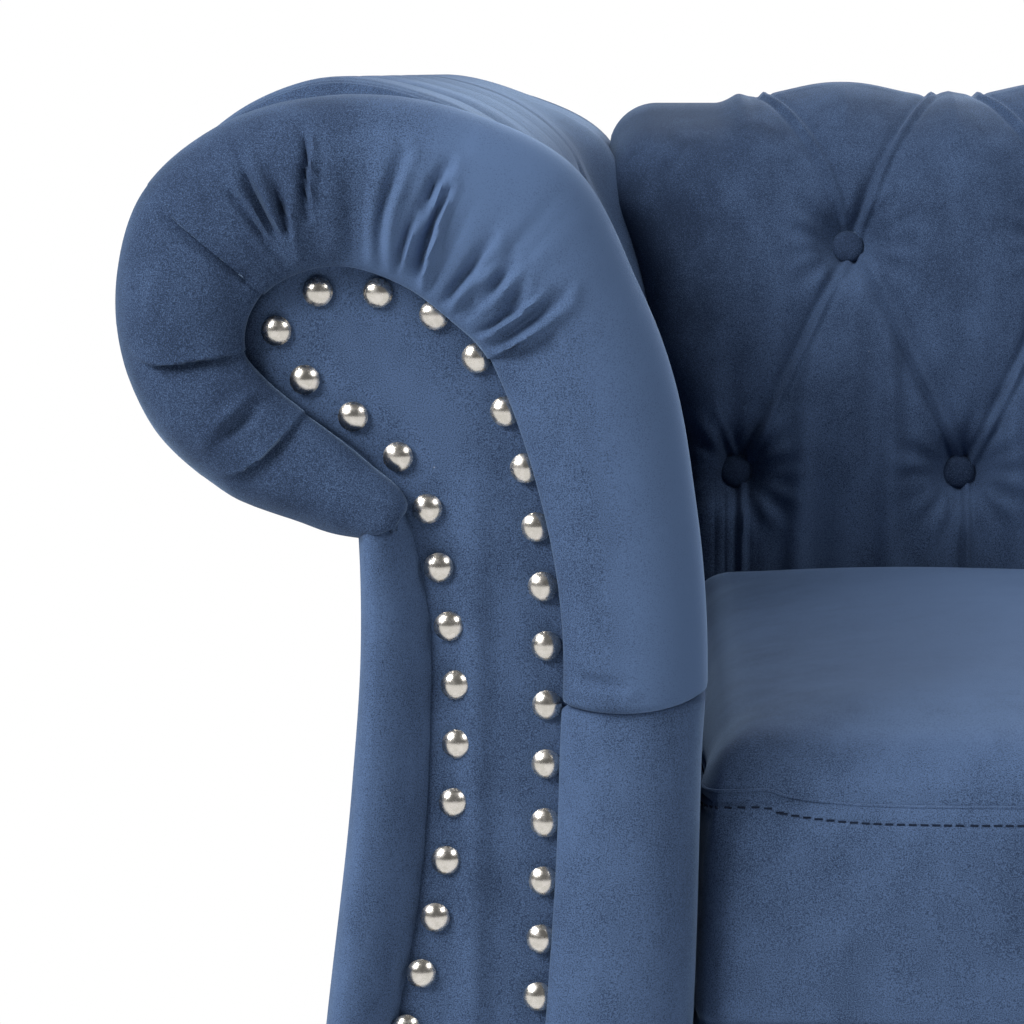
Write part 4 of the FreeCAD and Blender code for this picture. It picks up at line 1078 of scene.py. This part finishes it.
bpy.ops.object.select_all(action="DESELECT")
bpy.ops.mesh.primitive_uv_sphere_add(segments=36, ring_count=18, radius=1)
button = bpy.context.object
points = mesh_places(button)
turn = np.arctan2(points[:, 1], points[:, 0])
rim = np.hypot(points[:, 0], points[:, 1])
pucker = 1 + PUCKER_DEPTH * np.cos(PUCKERS * turn) * rim**6
points[:, :2] *= (BUTTON_RADIUS * pucker)[:, None]
points[:, 2] *= np.where(points[:, 2] > 0, BUTTON_CROWN, BUTTON_UNDER)
put_places(button, points)
bpy.ops.object.shade_smooth()


def seated(place, normal):
    """The matrix that seats a button at a place with its crown along the normal."""
    return Matrix.Translation(place) @ Vector(normal).to_track_quat("Z", "Y").to_matrix().to_4x4()


def profile_seat(line, reach, where):
    """The point of an outline at a reach along it, and the outline's outward normal there."""
    point, ahead = line_at(line, reach, np.array([where, where + TANGENT_STEP]))
    tangent = (ahead - point) / np.linalg.norm(ahead - point)
    return point, np.array([-tangent[1], tangent[0]])


back_seats = []
for along_at, up_at in back_uppers + back_lowers:
    point, normal = profile_seat(profile, reach, upper_reach + up_at)
    sunk = point - normal * BUTTON_DEPTH
    spot = (along_at + BUTTON_GAP / 2, back_low.y + sunk[0], sunk[1])
    back_seats.append(seated(spot, (0, normal[0], normal[1])))
arm_seats = []
for along_at, up_at in arm_uppers + arm_lowers:
    point, normal = profile_seat(contour_line, contour_reach, row_station + up_at)
    sunk = point - normal * BUTTON_DEPTH
    spot = (INNER_X - sunk[0], ARM_UPPER_FIRST + along_at, sunk[1])
    arm_seats.append(seated(spot, (-normal[0], 0, normal[1])))
arm_button = twin(button)
back_buttons = copies(button, "back_velvet_buttons", back_seats)
# The buttons' velvet is a darker copy of the velvet: painted shade of the dimples they sink into.
velvet_pile("button_velvet", lambda place: -0.32)
dress(back_buttons, "button_velvet", "frame", "velvet", "back_buttons")
arm_buttons = copies(arm_button, "left_arm_velvet_buttons", arm_seats)
arm_pair(arm_buttons, "button_velvet", "velvet", "arm_velvet_buttons", ["buttons"])


# Outside back: one flat width of velvet tacked under the roll and turned round the frame's lower edge.
# It is stretched on the frame, with faint pulls from its tacked edges.
OUTBACK_SET = 0.0008
OUTBACK_ROUND = 0.0022
OUTBACK_PULL = 0.0006
outback_low, outback_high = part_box("back_outer_cover")
across, up = even_grid(outback_low, outback_high, 331, 91, upright=2)
edge = from_rim(across, up)
pull = OUTBACK_PULL * np.sin(48 * across + 2 * np.sin(9 * up)) * np.exp(-(outback_high.z - up) / 0.07)
rear = outback_high.y - OUTBACK_SET - rolled(edge, OUTBACK_ROUND) + pull * np.clip(edge / 0.02, 0, 1)
outside_back = pad_grid("outside_back_velvet", np.dstack([across, rear, up]), 1, outback_low.y)
dress(outside_back, "blue_velvet", "frame", "velvet", "back_outer_cover")


# Seat cushions: three loose boxed cushions of velvet over foam, filled so that they crown.
# The top panel rolls over the front to a seam, and each cushion is pressed flat by its neighbours.
SEATS = ("left", "centre", "right")


def seat_painted_light(place):
    """Painted light on a cushion's top, turning to painted shadow beside the arms, and the whole cushion a
    little lighter.
    """
    near_arm = abs(place.axis(0)).between(0.73, 0.82)
    return place.axis(2).between(0.41, 0.45) * (0.38 - near_arm * 0.50) + 0.06


velvet_pile("seat_pile", seat_painted_light)
cushion_low, cushion_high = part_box("left_cushion_cover")
cushion_middle = np.array(cushion_low + cushion_high) / 2
cushion_half = np.array(cushion_high - cushion_low) / 2
FRONT_ROUND = 0.040
REAR_ROUND_TOP = 0.020
SIDE_ROUND = 0.014
BASE_ROUND = 0.012
CORNER_POWER = 4
FLAT_SHARE = 0.64
CUSHION_CUTS = 47
SWELL = 0.020
SIDE_SLACK = 0.005
DEPTH_SLACK = 0.006
REAR_DROP = 0.004
ON_FACE = 0.999
FILL_PRESSURE = 4
FILL_STEPS = 20
bpy.ops.object.select_all(action="DESELECT")
bpy.ops.mesh.primitive_cube_add(size=2)
cushion = bpy.context.object
cushion.name = "left_cushion_velvet"
bpy.ops.object.mode_set(mode="EDIT")
bpy.ops.mesh.select_all(action="SELECT")
bpy.ops.mesh.subdivide(number_cuts=CUSHION_CUTS)
bpy.ops.object.mode_set(mode="OBJECT")
unit = mesh_places(cushion)
before = cushion_half - np.array([SIDE_SLACK, DEPTH_SLACK, SWELL / 2])
height_share = (unit[:, 2:] + 1) / 2
top_round = np.where(unit[:, 1] < 0, FRONT_ROUND, REAR_ROUND_TOP)
top_round = np.stack([np.full(len(unit), SIDE_ROUND), top_round], axis=1)
edge_round = BASE_ROUND + (top_round - BASE_ROUND) * height_share
turn = np.sin(np.clip((np.abs(unit[:, :2]) - FLAT_SHARE) / (1 - FLAT_SHARE), 0, 1) * math.pi / 2)
size = np.maximum(np.sum(turn**CORNER_POWER, axis=1, keepdims=True) ** (1 / CORNER_POWER), 1e-9)
bend = edge_round * turn * np.minimum(1, 1 / size)
flat = np.minimum(np.abs(unit[:, :2]) / FLAT_SHARE, 1) * (before[:2] - edge_round)
weight = np.maximum(turn**2, 1e-9)
fall = np.sum(edge_round * weight, axis=1) / np.sum(weight, axis=1)
drop = fall * (1 - np.sqrt(np.maximum(1 - np.minimum(size[:, 0], 1) ** 2, 0)))
wall_low = -before[2] + BASE_ROUND
wall_high = before[2] - np.sum(top_round * weight, axis=1) / np.sum(weight, axis=1)
start = np.zeros_like(unit)
start[:, :2] = np.sign(unit[:, :2]) * (flat + bend)
start[:, 2] = wall_low + (wall_high - wall_low) * height_share[:, 0]
start[:, 2] = np.where(unit[:, 2] > ON_FACE, before[2] - drop, start[:, 2])
start[:, 2] = np.where(unit[:, 2] < -ON_FACE, -before[2] + drop, start[:, 2]) - SWELL / 2
put_places(cushion, start)
resting = cushion.vertex_groups.new(name="resting")
under = np.nonzero(unit[:, 2] < -ON_FACE)[0]
resting.add([int(i) for i in under], 1.0, "REPLACE")
cloth = cushion.modifiers.new("filling", "CLOTH")
cloth.settings.quality = 5
cloth.settings.use_pressure = True
cloth.settings.uniform_pressure_force = FILL_PRESSURE
cloth.settings.effector_weights.gravity = 0
cloth.settings.vertex_group_mass = "resting"
for step in range(1, FILL_STEPS + 1):
    bpy.context.scene.frame_set(step)
pick(cushion)
bpy.ops.object.modifier_apply(modifier="filling")
bpy.context.scene.frame_set(1)
moved = mesh_places(cushion) - start
furthest = np.linalg.norm(moved, axis=1).max()
start = start + moved * (SWELL / furthest)
cushion.vertex_groups.clear()
put_places(cushion, start)
soft = cushion.modifiers.new("soft", "SMOOTH")
soft.factor = 0.5
soft.iterations = 4
finer = cushion.modifiers.new("finer", "SUBSURF")
finer.levels = 1
pick(cushion)
bpy.ops.object.modifier_apply(modifier="soft")
bpy.ops.object.modifier_apply(modifier="finer")
bpy.ops.object.shade_smooth()
filled = mesh_places(cushion)
top_share = step_up(filled[:, 2], 0.0, 0.06)
filled[:, 2] -= REAR_DROP * top_share * step_up(filled[:, 1], -0.10, cushion_half[1])
CUSHION_GAP = 0.0004
room = cushion_half - CUSHION_GAP
filled = np.clip(filled, -room, room)
ARM_GAP = 0.0006
ARM_PRESS = 0.014
NEAR_ARM, AT_ARM = 0.72, 0.81
SEAM_SNAP = 0.0013
CORNER_TURN = 0.022
TOP_TURN = 0.026
SEAM_HEIGHT = 0.403 - cushion_middle[2]
SEAM_WIDTH = 0.0022
SEAMS = ((SEAM_HEIGHT, 0.0024), (SEAM_HEIGHT - 0.007, 0.0012), (-0.063, 0.0022))
normals = np.zeros(len(filled) * 3, np.float32)
cushion.data.vertices.foreach_get("normal", normals)
normals = normals.reshape(-1, 3)
sideways = np.hypot(normals[:, 0], normals[:, 1])
on_seam = (np.abs(filled[:, 2] - SEAM_HEIGHT) < SEAM_SNAP) & (sideways > 0.4)
filled[:, 2] = np.where(on_seam, SEAM_HEIGHT, filled[:, 2])


def sat_on(places, seed):
    """Soft dents left in a cushion by use, different for each one."""
    draw = np.random.default_rng(seed)
    dent = np.zeros(len(places))
    for _ in range(7):
        wave = draw.normal(0, 9, 3)
        dent += draw.uniform(0.0003, 0.0007) * np.sin(places @ wave + draw.uniform(0, 6))
    return dent


cushions = [cushion, twin(cushion), twin(cushion)]
for number, (seat, piece) in enumerate(zip(SEATS, cushions)):
    piece.name = f"{seat}_cushion_velvet"
    piece.data.name = piece.name
    height = sat_on(filled, number + 20)
    for seam_at, depth in SEAMS:
        height -= depth * np.exp(-(((filled[:, 2] - seam_at) / SEAM_WIDTH) ** 2)) * sideways
    points = np.clip(filled + normals * height[:, None], -room, room)
    seat_low, seat_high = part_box(f"{seat}_cushion_cover")
    points += np.array(seat_low + seat_high) / 2
    against = np.interp(points[:, 2], lower_contour[:, 1], lower_contour[:, 0]) - INNER_X - ARM_GAP
    pressed = np.abs(points[:, 0]) + ARM_PRESS * step_up(np.abs(points[:, 0]), NEAR_ARM, AT_ARM)
    points[:, 0] = np.sign(points[:, 0]) * np.minimum(pressed, np.maximum(against, np.abs(points[:, 0])))
    beside_arm = np.abs(points[:, 0]) > NEAR_ARM
    from_middle = np.abs(points[:, 0] - (seat_low.x + seat_high.x) / 2)
    to_side = np.where(beside_arm, against - np.abs(points[:, 0]), room[0] - from_middle)
    points[:, 2] -= rolled(to_side, TOP_TURN) * step_up(points[:, 2], 0.385, 0.44)
    at_front = 1 - step_up(points[:, 1], seat_low.y + 0.03, seat_low.y + 0.10)
    points[:, 1] += rolled(to_side, CORNER_TURN) * at_front
    put_places(piece, points)
    dress(piece, "seat_pile", f"{seat}_cushion", "velvet", f"{seat}_cushion_cover", f"{seat}_cushion_core")


# Cushion seams: the top panel is sewn to the boxing, with a line of stitches a little below the seam.
# The seam is a thin fold of velvet, and each stitch a stretch of dark thread sunk into the pile.
STITCH_DROP = 0.007
STITCH_GAP = 0.0050
STITCH_SIZE = (0.0017, 0.0004, 0.0004)
SEAM_CORD = 0.0008
SEAM_LINE = 0.4010
SEAM_RISE = 0.006
SEAM_STEP = 0.003
CORNER_REACH = 0.034
RAY_START = 0.1
CORE = 0.03
thread = start_finish("dark_thread")
ply = object_place(thread).noise(0.0006)
thread_tint = ply.tint((0.004, 0.007, 0.016, 1), (0.012, 0.020, 0.042, 1))
end_finish(thread, {"Base Color": thread_tint, "Roughness": 0.9, "Specular IOR Level": 0.1})


def round_about(piece, low, high, drop, gap):
    """Places and normals at even gaps round a cushion, at its seam or a drop below it."""
    half = (high - low).xy / 2 - Vector((CORE, CORE))
    middle = (low + high) / 2
    found = []
    for way in ((0, -1), (1, 0), (0, 1), (-1, 0)):
        way = Vector(way)
        side = Vector((-way.y, way.x))
        length = abs(side.dot(half))
        reach = abs(way.dot(half))
        half_turn = CORE * math.pi / 4
        stops = np.arange(-length, length, gap / 4)
        rays = [(way * reach + side * at, way, length - abs(at) + half_turn) for at in stops]
        for turn in np.arange(0, math.pi / 2, gap / 4 / CORE):
            out = way * math.cos(turn) + side * math.sin(turn)
            rays.append((way * reach + side * length, out, abs(turn * CORE - half_turn)))
        for start, out, from_corner in rays:
            line = SEAM_LINE - drop + SEAM_RISE * math.exp(-((from_corner / CORNER_REACH) ** 2))
            begin_x = middle.x + start.x + RAY_START * out.x
            begin_y = middle.y + start.y + RAY_START * out.y
            begin = Vector((begin_x, begin_y, line))
            hit, place, normal, _ = piece.ray_cast(begin, Vector((-out.x, -out.y, 0)))
            if hit and (not found or (place - found[-1][0]).length >= gap):
                found.append((place, normal))
    return found


for seat in SEATS:
    piece = bpy.data.objects[f"{seat}_cushion_velvet"]
    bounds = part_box(f"{seat}_cushion_cover")
    loop = [place for place, _ in round_about(piece, *bounds, 0, SEAM_STEP)]
    seam = wire_along(f"{seat}_cushion_seam", [loop + loop[:1]], SEAM_CORD)
    dress(seam, "seat_pile", f"{seat}_cushion", "velvet")
    places = []
    for place, normal in round_about(piece, *bounds, STITCH_DROP, STITCH_GAP):
        along_seam = Vector((0, 0, 1)).cross(normal).normalized()
        turned = Matrix((along_seam, normal, along_seam.cross(normal))).transposed().to_4x4()
        places.append(Matrix.Translation(place) @ turned @ Matrix.Diagonal((*STITCH_SIZE, 1)))
    bpy.ops.object.select_all(action="DESELECT")
    bpy.ops.mesh.primitive_cube_add(size=2)
    stitches = copies(bpy.context.object, f"{seat}_cushion_stitches", places)
    dress(stitches, "dark_thread", f"{seat}_cushion", "velvet")


# Studio: a pale floor that fades to the white ground, softboxes at the left, right and rear and a fill above.
# Polished metal shows the white ground behind the sofa and a dim room in front of it.
FLOOR_REACH = 40.0
ROOM_LIGHT = 0.16
ground = start_finish("studio_floor")


def vectors(operation, *values, out="Vector"):
    """A sum of the floor's vectors."""
    return ground.node("ShaderNodeVectorMath", {"operation": operation}, dict(enumerate(values)), out)


aside = vectors("SUBTRACT", vectors("ABSOLUTE", object_place(ground)), (cad_high.x, cad_high.y, 0))
away = vectors("LENGTH", vectors("MAXIMUM", aside, (0, 0, 0)), out="Value")


def ray(wire, kind):
    """1 for rays of that kind and 0 for the rest."""
    return wire.node("ShaderNodeLightPath", out=f"Is {kind} Ray")


def mirrored_rays(wire):
    """1 for rays that show the ground in polished metal or through something clear."""
    return wire.maths("MAXIMUM", ray(wire, "Glossy"), ray(wire, "Transmission"))


seen = ground.maths("MAXIMUM", ray(ground, "Camera"), mirrored_rays(ground))
floor_shader = ground.node("ShaderNodeBsdfDiffuse", {}, {"Color": (0.86, 0.86, 0.86, 1)})
white = ground.node("ShaderNodeEmission", {}, {"Color": (1, 1, 1, 1), "Strength": 1.0})
mixed = ground.node("ShaderNodeMixShader", {}, {0: seen * away.between(0.02, 0.2), 1: floor_shader, 2: white})
ground.node("ShaderNodeOutputMaterial", {}, {"Surface": mixed})
bpy.ops.object.select_all(action="DESELECT")
bpy.ops.mesh.primitive_plane_add(size=FLOOR_REACH)
floor = bpy.context.object
floor.name = "studio_floor"
floor.data.materials.append(bpy.data.materials["studio_floor"])

world = bpy.data.worlds.new("studio")
bpy.context.scene.world = world
world.use_nodes = True
world.node_tree.nodes.clear()
sky = Wire(world.node_tree)
way = sky.node("ShaderNodeTexCoord", out="Generated")
backdrop = way.axis(1).between(-0.2, 0.3)
seen = sky.maths("MAXIMUM", ray(sky, "Camera"), mirrored_rays(sky) * backdrop)
glow = seen * (1 - ROOM_LIGHT) + ROOM_LIGHT
paper = sky.node("ShaderNodeBackground", {}, {"Color": (1, 1, 1, 1), "Strength": glow})
sky.node("ShaderNodeOutputWorld", {}, {"Surface": paper})


def softbox(name, place, aim, size, power):
    """A large square lamp at a place, turned to its aim."""
    light = bpy.data.lights.new(name, "AREA")
    light.size = size
    light.energy = power
    lamp = bpy.data.objects.new(name, light)
    lamp.location = place
    lamp.rotation_euler = (Vector(aim) - Vector(place)).to_track_quat("-Z", "Y").to_euler()
    lamp.visible_camera = False
    bpy.context.collection.objects.link(lamp)


softbox("left_softbox", (-2.5, -1.5, 2.0), (-0.8, -0.2, 0.5), 1.2, 90)
softbox("right_softbox", (1.5, -1.8, 2.5), (-0.7, -0.2, 0.5), 1.2, 32)
softbox("top_fill", (0, 0.2, 3.2), (0, 0, 0.5), 2.0, 36)
softbox("rear_softbox", (0, 2.8, 2.2), (0, 0.2, 0.6), 2.0, 75)

CAMERA_PLACE = (-0.851, -1.837, 0.714)
CAMERA_AIM = (-0.908, -0.430, 0.533)
LENS = 120.66
camera = bpy.data.objects.new("camera", bpy.data.cameras.new("camera"))
camera.data.lens = LENS
camera.location = CAMERA_PLACE
camera.rotation_euler = (Vector(CAMERA_AIM) - Vector(CAMERA_PLACE)).to_track_quat("-Z", "Y").to_euler()
bpy.context.collection.objects.link(camera)
bpy.context.scene.camera = camera
bpy.context.scene.view_settings.view_transform = "Standard"
